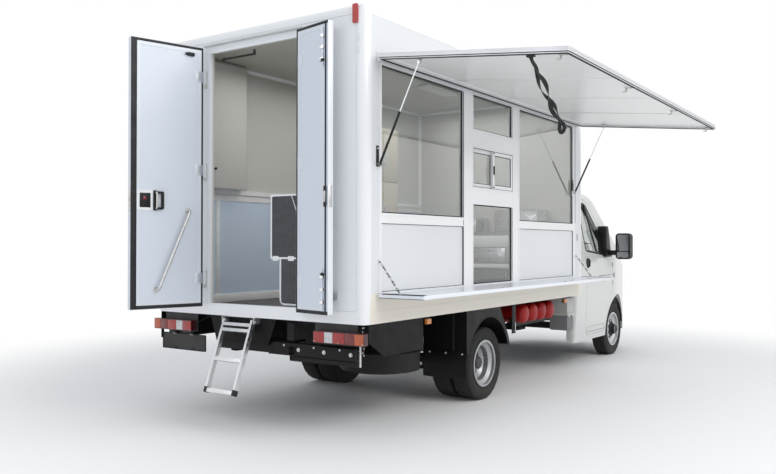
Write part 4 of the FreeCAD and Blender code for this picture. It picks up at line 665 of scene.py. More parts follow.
p = Piece("wall_rail_rivets", "zinc")
for y in spaced(-1.95, 2.05, 34):
    for z in (1.881, 1.907):
        p.rivet((-1.055, y, z), RIGHT, 0.005)
for y in spaced(-1.98, 1.62, 13):
    p.rivet((-1.061, y, 1.134), RIGHT, 0.007, 0.003)
for z in spaced(0.98, 1.8, 8):
    p.rivet((-1.058, -1.435, z), RIGHT, 0.006, 0.003)
p = Piece("wall_linings", "frame")
for y in (-1.456, -0.236):
    p.block((-1.0612, -1.058), (y, y + 0.042), (0.91, 1.866), 0.001)
p.block((-1.0612, -1.05), (-2.03, 2.13), (0.9055, 0.985), 0.003)
p = Piece("upper_cabinet_doors", "cabinet")
for y in (-2.03, -1.59):
    p.block((-0.9652, -0.962), (y, y + 0.43), (1.98, 3.13), 0.001)
p = Piece("upper_cabinet_knobs", "plastic")
for y in (-1.615, -1.575):
    p.lathe([(0, 0), (0, 0.005), (0.012, 0.005), (0.014, 0.011), (0.024, 0.011), (0.026, 0)],
            (-0.962, y, 2.15), RIGHT, 16)

BENCH_BAYS = ((-0.585, -0.085), (-0.075, 0.405), (0.415, 0.895))
p = Piece("kitchen_bench", "aluminium", slot="interior_panel")
for x0, x1 in BENCH_BAYS:
    p.block((x0, x1), (1.6285, 1.6402), (1.252, 1.42), 0.004)
    p.staple((x0 + 0.1, 1.63, 1.385), (x1 - 0.1, 1.63, 1.385), (0, -0.022, 0), 0.01, 0.006)
p.block((0.2, 0.75), (1.75, 2.08), (1.6005, 1.86), 0.012)
p.block((-0.5, -0.05), (1.78, 2.1), (1.6005, 1.78), 0.012)
for x in (0.28, 0.4, 0.52, 0.64):
    p.lathe([(0, 0), (0, 0.018), (0.018, 0.016), (0.02, 0.0)], (x, 1.7502, 1.66), BACK, 16)
p = Piece("kitchen_fascia", "frame")
p.block((-0.592, 0.902), (1.612, 1.6402), (1.424, 1.5595), 0.003)
p.block((-0.592, 0.902), (1.605, 1.6402), (1.184, 1.228), 0.004)
p = Piece("kitchen_lower_doors", "dash")
for bay in BENCH_BAYS:
    p.block(bay, (1.6335, 1.6402), (0.96, 1.178), 0.003)
p = Piece("wall_switch_box", "plastic")
p.block((0.02, 0.11), (2.124, 2.1365), (1.66, 1.8), 0.004)
p.block((0.035, 0.095), (2.1215, 2.1245), (1.69, 1.77), 0.003)

p = Piece("table_edges", "frame", slot="bare_aluminium")
p.rim((0.146, 0.604), (1.339, 1.847), (0, 0.014), "XZ", -2.0195, -1.9965, (0.014, 0.01))
p.pipe([(0.366, -2.0195, 1.84, 0), (0.447, -2.0195, 1.644, 0)], 0.005, 0.0025, square=True)
p.staple((0.246, -2.009, 1.342), (0.566, -2.009, 1.342), (0, 0, -0.36), 0.05, 0.01, sides=14)
for x in (0.2, 0.36, 0.55):
    p.block(near(x, 0.03), (-2.0205, -2.0175), (1.325, 1.362), 0.001)

# Serving window; the last entry of a cell says how far it stands proud of the panes
FACE_X = HALF - 0.0015
PANE_X = FACE_X - 0.022
FIXED, PANEL, SLIDER = 0.003, 0.012, 0.018
REAR_BAY, FRONT_BAY, MIDDLE_BAY = (-1.882, -0.637), (0.489, 1.899), (-0.462, 0.334)
CELLS = [
    (REAR_BAY, (1.6885, 2.788), FIXED), (FRONT_BAY, (1.6885, 2.788), FIXED),
    (MIDDLE_BAY, (2.485, 2.788), FIXED), (MIDDLE_BAY, (1.102, 1.812), FIXED),
    (REAR_BAY, (1.102, 1.6115), PANEL), (FRONT_BAY, (1.102, 1.6115), PANEL),
    (MIDDLE_BAY, (1.968, 2.315), SLIDER),
]
p = Piece("window_seals", "rubber")
for y, z, proud in CELLS:
    x = PANE_X + proud
    wide = 0.009 if proud == FIXED else 0.004
    p.rim(y, z, (0, wide), "YZ", x + 0.0003, x + 0.005, (0.002, 0.004))
    if proud == FIXED:
        p.rim(y, z, (0, wide), "YZ", PANE_X - 0.008, PANE_X - 0.0033, (0.002, 0.004))
for y, x in (((-0.4617, -0.047), PANE_X - 0.012), ((-0.081, 0.3337), PANE_X + 0.012)):
    p.rim(y, (1.9683, 2.3147), (0.034, 0.04), "YZ", x + 0.0033, x + 0.007, (0.003, 0.004))
for y, z in (((1.9565, 1.9635), (1.7, 2.79)), ((-0.641, -0.6365), (1.1, 2.78)), ((0.3345, 0.339), (1.1, 1.81))):
    p.block((FACE_X - 0.001, FACE_X + 0.0022), y, z, 0.0008)

p = Piece("window_beads", "frame")
for y, z, proud in CELLS:
    outer = rectangle((y[0] - 0.02, y[1] + 0.02), (z[0] - 0.02, z[1] + 0.01), 0.004)
    p.ring_sheet(outer, rectangle(y, z, 0.003, -0.0005), "YZ", FACE_X - 0.0004, FACE_X + 0.0024)

p = Piece("slider_latches", "plastic")
for z in (2.3, 1.985):
    p.bar((PANE_X + 0.022, -0.066, z), (PANE_X + 0.03, -0.066, z), 0.007)
p.block((PANE_X + 0.022, PANE_X + 0.034), (-0.072, -0.06), (2.1, 2.18), 0.003)
p.block((PANE_X - 0.002, PANE_X + 0.008), (-0.45, -0.44), (2.1, 2.18), 0.003)

p = Piece("slider_tracks", "frame")
for z in (2.3155, 1.953):
    p.block((FACE_X - 0.001, FACE_X + 0.006), (-0.47, 0.345), (z, z + 0.0145), 0.002)


def awning_piece(name, finish):
    """Piece of the awning, drawn level and then turned up."""
    return Piece("awning_" + name, finish, "awning", turn=AWNING_OPEN)


# Awning
AX = (AWNING_HINGE.x + 0.012, AWNING_HINGE.x + 1.466)
AY = (-1.985, 2.03)
A_LOW, A_TOP = AWNING_HINGE.z, AWNING_HINGE.z + 0.038
LINING = A_TOP - 0.022
p = awning_piece("gasket", "rubber")
p.rim(AX, AY, (0.004, 0.016), "XY", A_LOW - 0.006, A_LOW + 0.0005, (0.01, 0.006))
p.rim(AX, AY, (-0.0015, 0.003), "XY", A_LOW + 0.006, A_LOW + 0.012, (0.012, 0.01))
p = awning_piece("trim", "rim_white")
p.rim(AX, AY, (-0.002, 0.02), "XY", A_TOP - 0.0005, A_TOP + 0.003, (0.013, 0.004))
p.rim(AX, AY, (-0.002, 0.001), "XY", A_TOP - 0.01, A_TOP, (0.013, 0.012))
for y in spaced(AY[0] + 0.06, AY[1] - 0.06, 22):
    for x in drawn_in(AX, 0.01):
        p.rivet((x, y, A_TOP + 0.003), UP, 0.004)
p = awning_piece("lining_strips", "awning")
for y in (-0.95, 0.02, 0.99):
    p.block(drawn_in(AX, 0.031), near(y, 0.025), (LINING - 0.0035, LINING + 0.0004), 0.0015)
p.rim(AX, AY, (0.03, 0.058), "XY", LINING - 0.004, LINING + 0.0004, (0.004, 0.004))
p = awning_piece("catches", "zinc")
for y in (-1.925, -0.62, 0.66, 1.97):
    p.block((AX[1] - 0.09, AX[1] - 0.034), near(y, 0.016), near(A_LOW, 0.004), 0.002)
    p.bar((AX[1] - 0.075, y, A_LOW - 0.004), (AX[1] - 0.075, y, A_LOW - 0.028), 0.006)
    p.block((AX[1] - 0.104, AX[1] - 0.07), near(y, 0.007), (A_LOW - 0.034, A_LOW - 0.026), 0.003)

# Counter
COUNTER_Y = (-1.957, 2.014)
p = Piece("counter_nosing", "counter", "counter")
p.block((1.524, 1.5415), COUNTER_Y, (1.0625, 1.0935), 0.004)
p = Piece("counter_end_seals", "rubber", "counter")
for y, way in zip(COUNTER_Y, (-1, 1)):
    p.block((1.15, 1.5405), (y, y - way * 0.012), (1.0622, 1.0664), 0.0015)
    p.block((1.18, 1.5405), (y, y - way * 0.012), (1.0898, 1.095), 0.0015)
p.block((1.15, 1.53), (-1.9, -1.889), (1.0918, 1.0945), 0.001)
p = Piece("counter_catches", "zinc", "counter")
for y in (-0.66, 0.72):
    p.block((1.495, 1.527), near(y, 0.028), (1.0918, 1.0948), 0.001)
    p.bar((1.511, y, 1.0945), (1.511, y, 1.0985), 0.009)
    p.block((1.505, 1.517), (y - 0.02, y + 0.004), (1.0985, 1.1015), 0.001)
p = Piece("counter_battens", "aluminium", "counter")
for y in (-1.84, 1.9):
    p.block((1.17, 1.5), near(y, 0.015), (1.05, 1.0642), 0.003)
    for x in (1.2, 1.33, 1.47):
        p.rivet((x, y, 1.05), (0, 0, -1), 0.005)

# Chains from the wall pegs to the counter's eyes, where the CAD node has its two
LINK_HALF_WIDTH, LINK_WIRE, LINK_LAP = 0.0068, 0.0022, 0.0045
points = [v.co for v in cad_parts["counter_chains"].data.vertices]
middle_y = sum(v.y for v in points) / len(points)
p = Piece("counter_link_chains", "chain")
for at_rear in (True, False):
    row = [v for v in points if (v.y < middle_y) == at_rear]
    (x0, x1), (y0, y1), (z0, z1) = ((min(v[i] for v in row), max(v[i] for v in row)) for i in range(3))
    y = (y0 + y1) / 2
    start, end = Vector((x0 + 0.004, y, z1 - 0.003)), Vector((x1 - 0.004, y, z0 + 0.003))
    run = end - start
    way = run.normalized()
    count = 2 * int(run.length / 0.05) + 1
    pitch = run.length / count
    for k in range(count):
        middle = start + way * pitch * (k + 0.5)
        flat = way.cross(Vector(AHEAD)) if k % 2 else Vector(AHEAD)
        link = []
        for turn in ring(16):
            bulge = math.copysign(abs(math.cos(turn)) ** 0.6, math.cos(turn)) * (pitch / 2 + LINK_LAP)
            link.append((*(middle + way * bulge + flat * math.sin(turn) * LINK_HALF_WIDTH), 0))
        p.pipe(link, LINK_WIRE, sides=8, closed=True)
links = shown(p.made(), p.finish)
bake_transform(links)
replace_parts(links, "counter_chains")


def leaf_piece(name, finish, slot=None):
    """Piece of the left or right rear leaf, drawn in its closed place."""
    turn = LEFT_LEAF_OPEN if name.startswith("left") else RIGHT_LEAF_OPEN
    return Piece(name.replace("_", "_leaf_", 1), finish, name.split("_")[0] + "_rear_leaf", slot, turn)


def outer_skin(name, x):
    """White rim and sheet on the outer face of a leaf."""
    p = leaf_piece(name, "rear_wall")
    p.ring_sheet(rectangle(x, LEAF_Z, 0.006, -0.001), rectangle(x, LEAF_Z, 0.002, 0.032), "XZ",
                 LEAF_OUTER - 0.0022, LEAF_OUTER + 0.0005)
    p.block(drawn_in(x, 0.03), (LEAF_OUTER - 0.001, LEAF_OUTER + 0.0002), drawn_in(LEAF_Z, 0.03), 0.0003)
    return p


def proud(height, depth=0.0005):
    """From inside the leaf's inner face to a height over it."""
    return LEAF_INNER - depth, LEAF_INNER + height


# Left rear leaf
HINGES = (LEAF_LOW + 0.235, (LEAF_LOW + LEAF_HIGH) / 2 + 0.055, LEAF_HIGH - 0.245)
HINGE_SCREWS = ((0.03, -0.028), (0.03, 0.028), (0.058, -0.028), (0.058, 0.028))
LOCK_Z = LEAF_LOW + 0.862
FLUSH, FREE = -0.5, 0.114


p = leaf_piece("left_seal", "rubber")
for x, z in (((FREE - 0.046, FREE + 0.0015), drawn_in(LEAF_Z, 0.004)),
             ((FLUSH + 0.004, FREE - 0.046), (LEAF_HIGH - 0.024, LEAF_HIGH - 0.004)),
             ((FLUSH + 0.004, FREE - 0.046), (LEAF_LOW + 0.004, LEAF_LOW + 0.031)),
             ((FLUSH + 0.002, FLUSH + 0.016), drawn_in(LEAF_Z, 0.004))):
    p.block(x, proud(0.005), z, 0.002)
for x in (FREE - 0.012, FREE - 0.03):
    p.pipe([(x, LEAF_INNER + 0.0015, LEAF_LOW + 0.01, 0), (x, LEAF_INNER + 0.0015, LEAF_HIGH - 0.01, 0)],
           0.0045, sides=8)
p = leaf_piece("left_frame", "leaf_rim")
p.rim((FLUSH + 0.018, FREE - 0.047), (LEAF_LOW + 0.032, LEAF_HIGH - 0.025), (0, 0.028), "XZ", *proud(0.0035))
for z in spaced(LEAF_LOW + 0.1, LEAF_HIGH - 0.1, 9):
    for x in (FLUSH + 0.032, FREE - 0.061):
        p.rivet((x, LEAF_INNER + 0.0035, z), AHEAD, 0.003)
p = outer_skin("left_outer_skin", (FLUSH, FREE))
for z in spaced(LEAF_LOW + 0.1, LEAF_HIGH - 0.1, 9):
    for x in (FLUSH + 0.016, FREE - 0.016):
        p.rivet((x, LEAF_OUTER - 0.0022, z), BACK, 0.003)
p = leaf_piece("left_lock_plate", "frame")
p.ring_sheet(rectangle((-0.066, 0.063), near(LOCK_Z, 0.08), 0.012),
             rectangle((-0.048, 0.045), near(LOCK_Z, 0.058), 0.006), "XZ", *proud(0.0045))
p.block((-0.03, 0.042), proud(0.0015, 0.0045), near(LOCK_Z, 0.056), 0.004)
p = leaf_piece("left_lock_insert", "plastic")
p.block((-0.046, 0.043), proud(0.004, -0.0005), near(LOCK_Z, 0.056), 0.004)
p.block((-0.034, 0.02), proud(0.007, -0.0035), near(LOCK_Z, 0.03), 0.003)
p = leaf_piece("left_lock_lever", "lens_red", "red_steel")
p.block((-0.008, 0.014), proud(0.009, -0.0065), (LOCK_Z + 0.006, LOCK_Z + 0.026), 0.003)
p = leaf_piece("left_latch", "zinc")
p.block((FREE - 0.004, FREE + 0.0075), (LEAF_OUTER + 0.012, LEAF_OUTER + 0.03), near(LOCK_Z, 0.016), 0.003)
p.block((FREE - 0.0008, FREE + 0.0014), (LEAF_OUTER + 0.006, LEAF_OUTER + 0.038), near(LOCK_Z, 0.09), 0.001)
p = leaf_piece("left_grip", "plastic")
p.block((-0.1, -0.07), proud(0.004), near(LOCK_Z, 0.08), 0.002)
for z in near(LOCK_Z, 0.071):
    p.rivet((-0.085, LEAF_INNER + 0.004, z), AHEAD, 0.005)
p.ring_sheet(rectangle((-0.152, -0.072), near(LOCK_Z, 0.072), 0.016),
             rectangle((-0.136, -0.098), near(LOCK_Z, 0.055), 0.008), "XZ", *proud(0.024))
p = leaf_piece("left_hinge_plates", "leaf_rim")
for z in HINGES:
    p.block((FLUSH + 0.0005, FLUSH + 0.072), proud(0.0035, 0.0004), near(z, 0.045), 0.0015)
    p.bar((FLUSH + 0.01, LEAF_INNER + 0.0005, z - 0.045), (FLUSH + 0.01, LEAF_INNER + 0.0005, z + 0.045), 0.005)
    for u, v in HINGE_SCREWS:
        p.rivet((FLUSH + u, LEAF_INNER + 0.0035, z + v), AHEAD, 0.006, 0.0022)
p = leaf_piece("left_roller", "plastic")
p.block((FLUSH + 0.085, FLUSH + 0.145), proud(0.02), (LEAF_HIGH - 0.085, LEAF_HIGH - 0.057), 0.004)
y, z = LEAF_INNER + 0.014, LEAF_HIGH - 0.071
p.bar((FLUSH + 0.145, y, z), (FLUSH + 0.165, y, z), 0.008)
p = leaf_piece("left_outer_handle", "plastic")
p.block((-0.035, 0.05), (LEAF_OUTER - 0.006, LEAF_OUTER + 0.0005), near(LOCK_Z, 0.075), 0.004)
p.block((-0.012, 0.026), (LEAF_OUTER - 0.02, LEAF_OUTER - 0.005), (LOCK_Z - 0.062, LOCK_Z + 0.058), 0.006)
p.bar((0.007, LEAF_OUTER - 0.022, LOCK_Z - 0.04), (0.007, LEAF_OUTER - 0.015, LOCK_Z - 0.04), 0.009)

# Right rear leaf
MEET, HINGE_EDGE = 0.126, 0.5
BOLT_X = 0.18
KNOBS = (LEAF_LOW + 0.3, LEAF_HIGH - 0.3)
p = leaf_piece("right_seal", "rubber")
for x, z in (((MEET + 0.004, HINGE_EDGE - 0.004), (LEAF_HIGH - 0.022, LEAF_HIGH - 0.003)),
             ((MEET + 0.004, HINGE_EDGE - 0.004), (LEAF_LOW + 0.003, LEAF_LOW + 0.028)),
             ((HINGE_EDGE - 0.016, HINGE_EDGE - 0.003), (LEAF_LOW + 0.028, LEAF_HIGH - 0.022)),
             ((MEET + 0.02, MEET + 0.034), (LEAF_LOW + 0.028, LEAF_HIGH - 0.022))):
    p.block(x, proud(0.0055), z, 0.002)
p = leaf_piece("right_frame", "leaf_rim")
p.ring_sheet(rectangle((MEET + 0.035, HINGE_EDGE - 0.017), (LEAF_LOW + 0.03, LEAF_HIGH - 0.024), 0.002),
             rectangle((MEET + 0.092, HINGE_EDGE - 0.045), (LEAF_LOW + 0.058, LEAF_HIGH - 0.052), 0.002),
             "XZ", *proud(0.003))
p = outer_skin("right_outer_skin", (MEET, HINGE_EDGE))
p.block((MEET - 0.0008, MEET + 0.0005), (LEAF_OUTER + 0.001, LEAF_INNER - 0.001),
        drawn_in(LEAF_Z, 0.004), 0.0003)
p = leaf_piece("right_shoot_bolts", "chrome")
for low, high, knob in ((SILL_TOP + 0.02, LEAF_LOW + 0.33, KNOBS[0]), (LEAF_HIGH - 0.33, 3.02, KNOBS[1])):
    for z in (low + 0.05, (low + high) / 2, high - 0.05):
        p.block(near(BOLT_X, 0.022), proud(0.004, 0.0002), near(z, 0.014), 0.002)
        a, b = ((x, LEAF_INNER + 0.003, z) for x in near(BOLT_X, 0.014))
        p.staple(a, b, (0, 0.0215, 0), 0.008, 0.0025, 0.01, square=True)
    p.pipe([(BOLT_X, LEAF_INNER + 0.014, knob, 0), (BOLT_X, LEAF_INNER + 0.042, knob, 0.016),
            (BOLT_X - 0.035, LEAF_INNER + 0.047, knob, 0)], 0.006)
p = leaf_piece("right_knobs", "plastic")
for knob in KNOBS:
    p.lathe([(0, 0), (0.001, 0.008), (0.01, 0.0125), (0.024, 0.0125), (0.031, 0.008), (0.033, 0)],
            (BOLT_X - 0.033, LEAF_INNER + 0.047, knob), (-1, 0.08, 0), 16)
p.block((MEET + 0.012, MEET + 0.04), proud(0.012, -0.0055), near(LOCK_Z, 0.075), 0.003)
p = leaf_piece("right_keeper", "zinc")
p.block(near(MEET, 0.0012), (LEAF_OUTER + 0.006, LEAF_OUTER + 0.038), near(LOCK_Z, 0.08), 0.001)
p.block((MEET + 0.016, MEET + 0.036), proud(0.0145, -0.0115), near(LOCK_Z, 0.04), 0.001)
p = leaf_piece("right_hinge_plates", "leaf_rim")
for z in HINGES:
    p.block((HINGE_EDGE - 0.072, HINGE_EDGE - 0.0005), proud(0.0035, 0.0004), near(z, 0.045), 0.0015)
    for u, v in HINGE_SCREWS:
        p.rivet((HINGE_EDGE - u, LEAF_INNER + 0.0035, z + v), AHEAD, 0.006, 0.0022)

# Tail lamps, plate and underrun bar
LAMP_Y = REAR - 0.024
LENSES = [(1.05, 1.128, "lens_amber"), (0.96, 1.048, "lens_dark_red"), (0.85, 0.958, "lens_red"),
          (0.77, 0.848, "lens_clear"), (0.668, 0.768, "lens_red")]
for kind in ("lens_amber", "lens_dark_red", "lens_red", "lens_clear"):
    p = Piece("tail_" + kind, kind)
    for x0, x1 in [(-b, -a) for a, b, k in LENSES if k == kind] + [(a, b) for a, b, k in LENSES if k == kind]:
        p.block((x0, x1), (LAMP_Y - 0.0045, LAMP_Y + 0.004), (0.728, 0.806), 0.004, 3)
p = Piece("tail_lamp_screws", "zinc")
for x in (-1.122, -0.9, -0.675, 0.675, 0.9, 1.122):
    p.rivet((x, LAMP_Y - 0.0045, 0.733), BACK, 0.004, 0.002)
PLATE_LAMPS = (-0.9, -0.69)
p = Piece("plate_holder", "plastic")
p.rim((-1.064, -0.531), (0.554, 0.693), (0, 0.008), "XZ", LAMP_Y + 0.036, LAMP_Y + 0.0405, (0.01, 0.006))
for x in PLATE_LAMPS:
    p.block(near(x, 0.024), (LAMP_Y + 0.018, LAMP_Y + 0.042), (0.692, 0.712), 0.005)
    p.block(near(x, 0.014), (LAMP_Y + 0.03, LAMP_Y + 0.0405), (0.56, 0.574), 0.003)
p = Piece("plate_lamp_lenses", "lens_clear")
for x in PLATE_LAMPS:
    p.block(near(x, 0.019), (LAMP_Y + 0.021, LAMP_Y + 0.036), (0.6885, 0.6925), 0.001)
p = Piece("underrun_bolts", "zinc")
for x in (0.448, 0.7, 0.952):
    p.bolt((x, REAR + 0.06, 0.64), BACK, 0.012, 0.01)
for x in (0.3, 0.6, 0.85):
    p.bolt((x, REAR + 0.0602, 0.668), BACK, 0.006, 0.006)
p.bar((1.02, REAR + 0.088, 0.552), (1.02, REAR + 0.088, 0.735), 0.008)
for z in (0.6, 0.67):
    p.pipe([(1.0, REAR + 0.088, z, 0), (1.022, REAR + 0.088, z, 0)], 0.006)
p = Piece("underrun_caps", "plastic")
for x in (0.1385, 0.994):
    p.block((x, x + 0.0075), (REAR + 0.0585, REAR + 0.1215), (0.5865, 0.6915), 0.004)
p = Piece("lamp_harness", "rubber")
for side in (-1, 1):
    p.pipe([(side * 0.8, LAMP_Y + 0.08, 0.76, 0), (side * 0.8, LAMP_Y + 0.14, 0.76, 0.03),
            (side * 0.62, LAMP_Y + 0.17, 0.845, 0.05), (side * 0.42, LAMP_Y + 0.3, 0.86, 0.05),
            (side * 0.42, LAMP_Y + 1.2, 0.86, 0)], 0.006)

# Ladder
p = Piece("ladder_feet", "rubber", "ladder", turn=LADDER_OUT)
for x in (-0.275, 0.031):
    p.block((x - 0.003, x + 0.025), (-2.131, -2.085), (0.2465, 0.292), 0.005)
p = Piece("ladder_treads", "aluminium", "ladder", turn=LADDER_OUT)
for z, size in ((0.806, 0.012), (0.76, 0.012), (0.52, 0.016), (0.266, 0.016)):
    for y in spaced(-2.124, -2.092, 5):
        p.block((-0.252, 0.03), near(y, 0.0015), (z + size - 0.0005, z + size + 0.0018), 0.0006)
for z in (0.508, 0.254):
    p.block((-0.25, 0.028), (-2.1275, -2.1255), (z, z + 0.024), 0.0008)
p = Piece("ladder_nuts", "zinc")
for x, way in ((-0.289, -1), (0.067, 1)):
    p.bolt((x, LADDER_PIN.y, LADDER_PIN.z), (way, 0, 0), 0.009, 0.007)

# Wheels
TYRE_R, GROOVE_DEPTH = 0.338, 0.008
W = WHEELBASE


def tyre_section():
    """Section of a road tyre as (along, radius), with sidewall rings and four grooves."""
    side = [(0.0685, 0.2058), (0.076, 0.21), (0.0795, 0.22), (0.0825, 0.23), (0.085, 0.2308),
            (0.0853, 0.233), (0.0838, 0.2345), (0.0875, 0.25), (0.091, 0.266), (0.0925, 0.28),
            (0.0918, 0.293), (0.0902, 0.303), (0.0914, 0.3036), (0.0914, 0.3056), (0.0896, 0.3066),
            (0.0885, 0.316), (0.0862, 0.326), (0.083, 0.332), (0.0795, 0.3362), (0.074, TYRE_R)]
    tread = []
    for middle in (0.05, 0.017, -0.017, -0.05):
        for offset, depth in ((0.0046, 0), (0.0034, GROOVE_DEPTH), (-0.0034, GROOVE_DEPTH), (-0.0046, 0)):
            tread.append((middle + offset, TYRE_R - depth))
    return side + tread + [(-along, radius) for along, radius in reversed(side)]


TYRE = tyre_section()


def sipe(row, step):
    """Cuts across the tyre's shoulders every few steps."""
    along, radius = TYRE[row]
    return -0.004 if step % 4 == 0 and 0.055 < abs(along) < 0.088 and radius > 0.325 else 0


def bolt_ring(p, x, y, way, circle, size, height, offset):
    for turn in ring(6, offset):
        p.bolt((x, y + circle * math.cos(turn), AXLE_Z + circle * math.sin(turn)), way, size, height)


for side, name in ((1, "right"), (-1, "left")):
    rear, front = "rear_" + name + "_wheels", "front_" + name + "_wheel"
    out = (side, 0, 0)
    for form, cad, body, y, places in (("rear_treads_", "rear_tyres_", rear, 0, (0.91, 0.695)),
                                       ("front_tread_", "front_tyre_", front, W, (0.866,))):
        p = Piece(form + name, "tyre", body)
        for x in places:
            p.lathe(TYRE, (side * x, y, AXLE_Z), out, 96, sipe, closed=True)
        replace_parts(p.done(), cad + name)
    p = Piece("rear_nuts_" + name, "hub_dark", rear)
    bolt_ring(p, side * 0.8095, 0, out, 0.08, 0.012, 0.016, 0.5)
    p.lathe([(0, 0.0585), (0.012, 0.0585), (0.02, 0.05), (0.022, 0.02), (0.022, 0)],
            (side * 0.9225, 0, AXLE_Z), out, 32)
    bolt_ring(p, side * 0.938, 0, out, 0.043, 0.006, 0.007, 0)
    p = Piece("front_nuts_" + name, "hub_dark", front)
    bolt_ring(p, side * 0.936, W, out, 0.076, 0.012, 0.016, 0.5)
    # Painted shade: a dark annulus behind the rim and dark rings round the eight vents stand in for the shade
    # inside the vents, so they look black.
    p = Piece("front_vent_painted_shade_" + name, "hub_dark", front, "rim")
    p.lathe([(0, 0.1), (0, 0.142), (0.01, 0.142), (0.01, 0.1)], (side * 0.872, W, AXLE_Z), out, 40, closed=True)
    for turn in ring(8, 0.5):
        along, up = math.cos(turn), math.sin(turn)
        at = (side * 0.9172, W + 0.114 * along, AXLE_Z + 0.114 * up)
        p.lathe([(0, 0.0158), (0, 0.024), (0.0022, 0.024), (0.0028, 0.0225), (0.0028, 0.0158)],
                at, (side * 0.786, 0.618 * along, 0.618 * up), closed=True)
    p = Piece("front_hub_cap_" + name, "plastic", front)
    p.lathe([(0, 0.0595), (0, 0.093), (0.005, 0.0945), (0.01, 0.09), (0.014, 0.078), (0.022, 0.069),
             (0.05, 0.064), (0.06, 0.06), (0.0665, 0.052), (0.0685, 0.042), (0.067, 0.038), (0.0672, 0.0)],
            (side * 0.929, W, AXLE_Z), out, 40)
    for form, body, y, way, (x0, x1, x2) in (("rear_valves_", rear, 0, 1, (0.845, 0.895, 0.918)),
                                             ("front_valves_", front, W, -1, (0.885, 0.915, 0.935))):
        p = Piece(form + name, "rubber", body)
        outer_y, z = y + way * 0.16, AXLE_Z + 0.048
        p.pipe([(side * x0, y + way * 0.15, AXLE_Z + 0.045, 0), (side * x1, outer_y, z, 0.01),
                (side * x2, outer_y, z, 0)], 0.0042)

# Mudguards, side panels, cylinders, markers
p = Piece("mudguard_screws", "zinc")
for x in (-0.66, -0.83, -1.0, 0.66, 0.83, 1.0):
    p.rivet((x, -0.4455, 0.472), BACK, 0.01, 0.004)
p = Piece("mudguard_lips", "plastic")
for side in (-1, 1):
    arc = []
    for angle in spaced(14, 130, 33):
        turn = math.radians(angle)
        arc.append((side * 1.0478, -0.396 * math.cos(turn), 0.38 + 0.396 * math.sin(turn), 0))
    p.pipe(arc, 0.0022, sides=8)
    for x in (0.746, 0.92):
        p.block((side * x - 0.004, side * x + 0.004), (-0.4435, -0.4395), (0.5, 0.845), 0.0015)
    p.block((side * 0.592, side * 1.04), (-0.4462, -0.4445), (0.246, 0.254), 0.0008)

p = Piece("side_panel_brackets", "black_steel")
for side in (-1, 1):
    for y, z in ((-1.318, 0.628), (-2.075, 0.64)):
        p.block((side * 1.0845, side * 1.0895), (y, y + 0.03), (z, 0.868), 0.0015)
p = Piece("side_panel_rivets", "zinc")
for side in (-1, 1):
    for z in spaced(0.65, 0.85, 5):
        for y, up in ((-1.303, 0), (-2.052, 0), (-2.068, 0.02 * (z < 0.84))):
            p.rivet((side * 1.0895, y, z + up), (side, 0, 0), 0.006, 0.003)

CYLINDERS = [(y, 0.739) for y in (0.915, 1.137, 1.359, 1.581)]
p = Piece("cylinder_domes", "red")
for y, z in CYLINDERS:
    p.lathe([(-0.03, 0.0994), (0, 0.0996), (0.02, 0.0968), (0.036, 0.089), (0.047, 0.076), (0.055, 0.058),
             (0.0595, 0.035), (0.061, 0.0)], (0.952, y, z), RIGHT, 48)
p = Piece("cylinder_valves", "zinc")
for y, z in CYLINDERS:
    p.lathe([(0, 0), (0, 0.02), (0.01, 0.02), (0.012, 0.013), (0.016, 0.013), (0.018, 0.016), (0.024, 0.016),
             (0.025, 0.0)], (0.4415, y, z), LEFT, 20)
p = Piece("cylinder_straps", "black_steel")
for y, z in CYLINDERS:
    p.lathe([(0, 0.0975), (0, 0.1), (0.03, 0.1), (0.03, 0.0975)], (0.545, y, z), RIGHT, 48, closed=True)
p = Piece("cylinder_bay_plate", "black_steel")
p.block((0.985, 0.991), (0.6, 0.69), (0.56, 0.8465), 0.002)
for z in (0.6, 0.7, 0.8):
    p.rivet((0.991, 0.625, z), RIGHT, 0.005, 0.003)
p = Piece("cylinder_bay_strip", "frame")
p.block((0.9905, 0.993), (0.672, 0.682), (0.572, 0.668), 0.0008)
p = Piece("marker_brackets", "plastic")
for side in (-1, 1):
    for y in ((1.585, 1.7), (-1.262, -1.196)):
        p.block((side * 1.1165, side * 1.1195), y, (0.812, 0.86), 0.001)
p = Piece("locker_catches", "zinc")
for y in (2.015, 2.13):
    p.block((1.0275, 1.0325), near(y, 0.016), (0.622, 0.668), 0.0015)
    p.rivet((1.0325, y, 0.655), RIGHT, 0.005)

# Cab
WINDOW_INSET = 0.02
SKIN_STEP = 0.03
trees = {}


def skin_hit(names, start, way):
    """Where a ray meets the outer faces of some CAD nodes, or None."""
    if names not in trees:
        form = bmesh.new()
        for name in names:
            form.from_mesh(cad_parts[name].data)
        trees[names] = BVHTree.FromBMesh(form)
        form.free()
    return trees[names].ray_cast(Vector(start), Vector(way))[0]


def side_x(y, z):
    """Where the cab's right skin lies; over the window it is carried on from the pane."""
    hit = skin_hit(("cab_shell", "cab_door_right", "bonnet", "front_bumper"), (1.6, y, z), LEFT)
    if hit is None or hit.x < 0.7:
        hit = skin_hit(("door_glass_right",), (1.6, y, z), LEFT)
        return (hit.x if hit else 0.9) + WINDOW_INSET
    return hit.x


def front_y(x, z):
    """Where the cab's front skin lies."""
    names = ("cab_shell", "windscreen", "bonnet", "front_bumper", "headlamps")
    return skin_hit(names, (x, 7.0, z), BACK).y


def divided(points, step, closed):
    """Flat line cut into short runs."""
    result = []
    for i in range(len(points) if closed else len(points) - 1):
        a, b = points[i], points[(i + 1) % len(points)]
        runs = max(1, round((b - a).length / step))
        result += [a.lerp(b, k / runs) for k in range(runs)]
    return result if closed else result + [points[-1]]


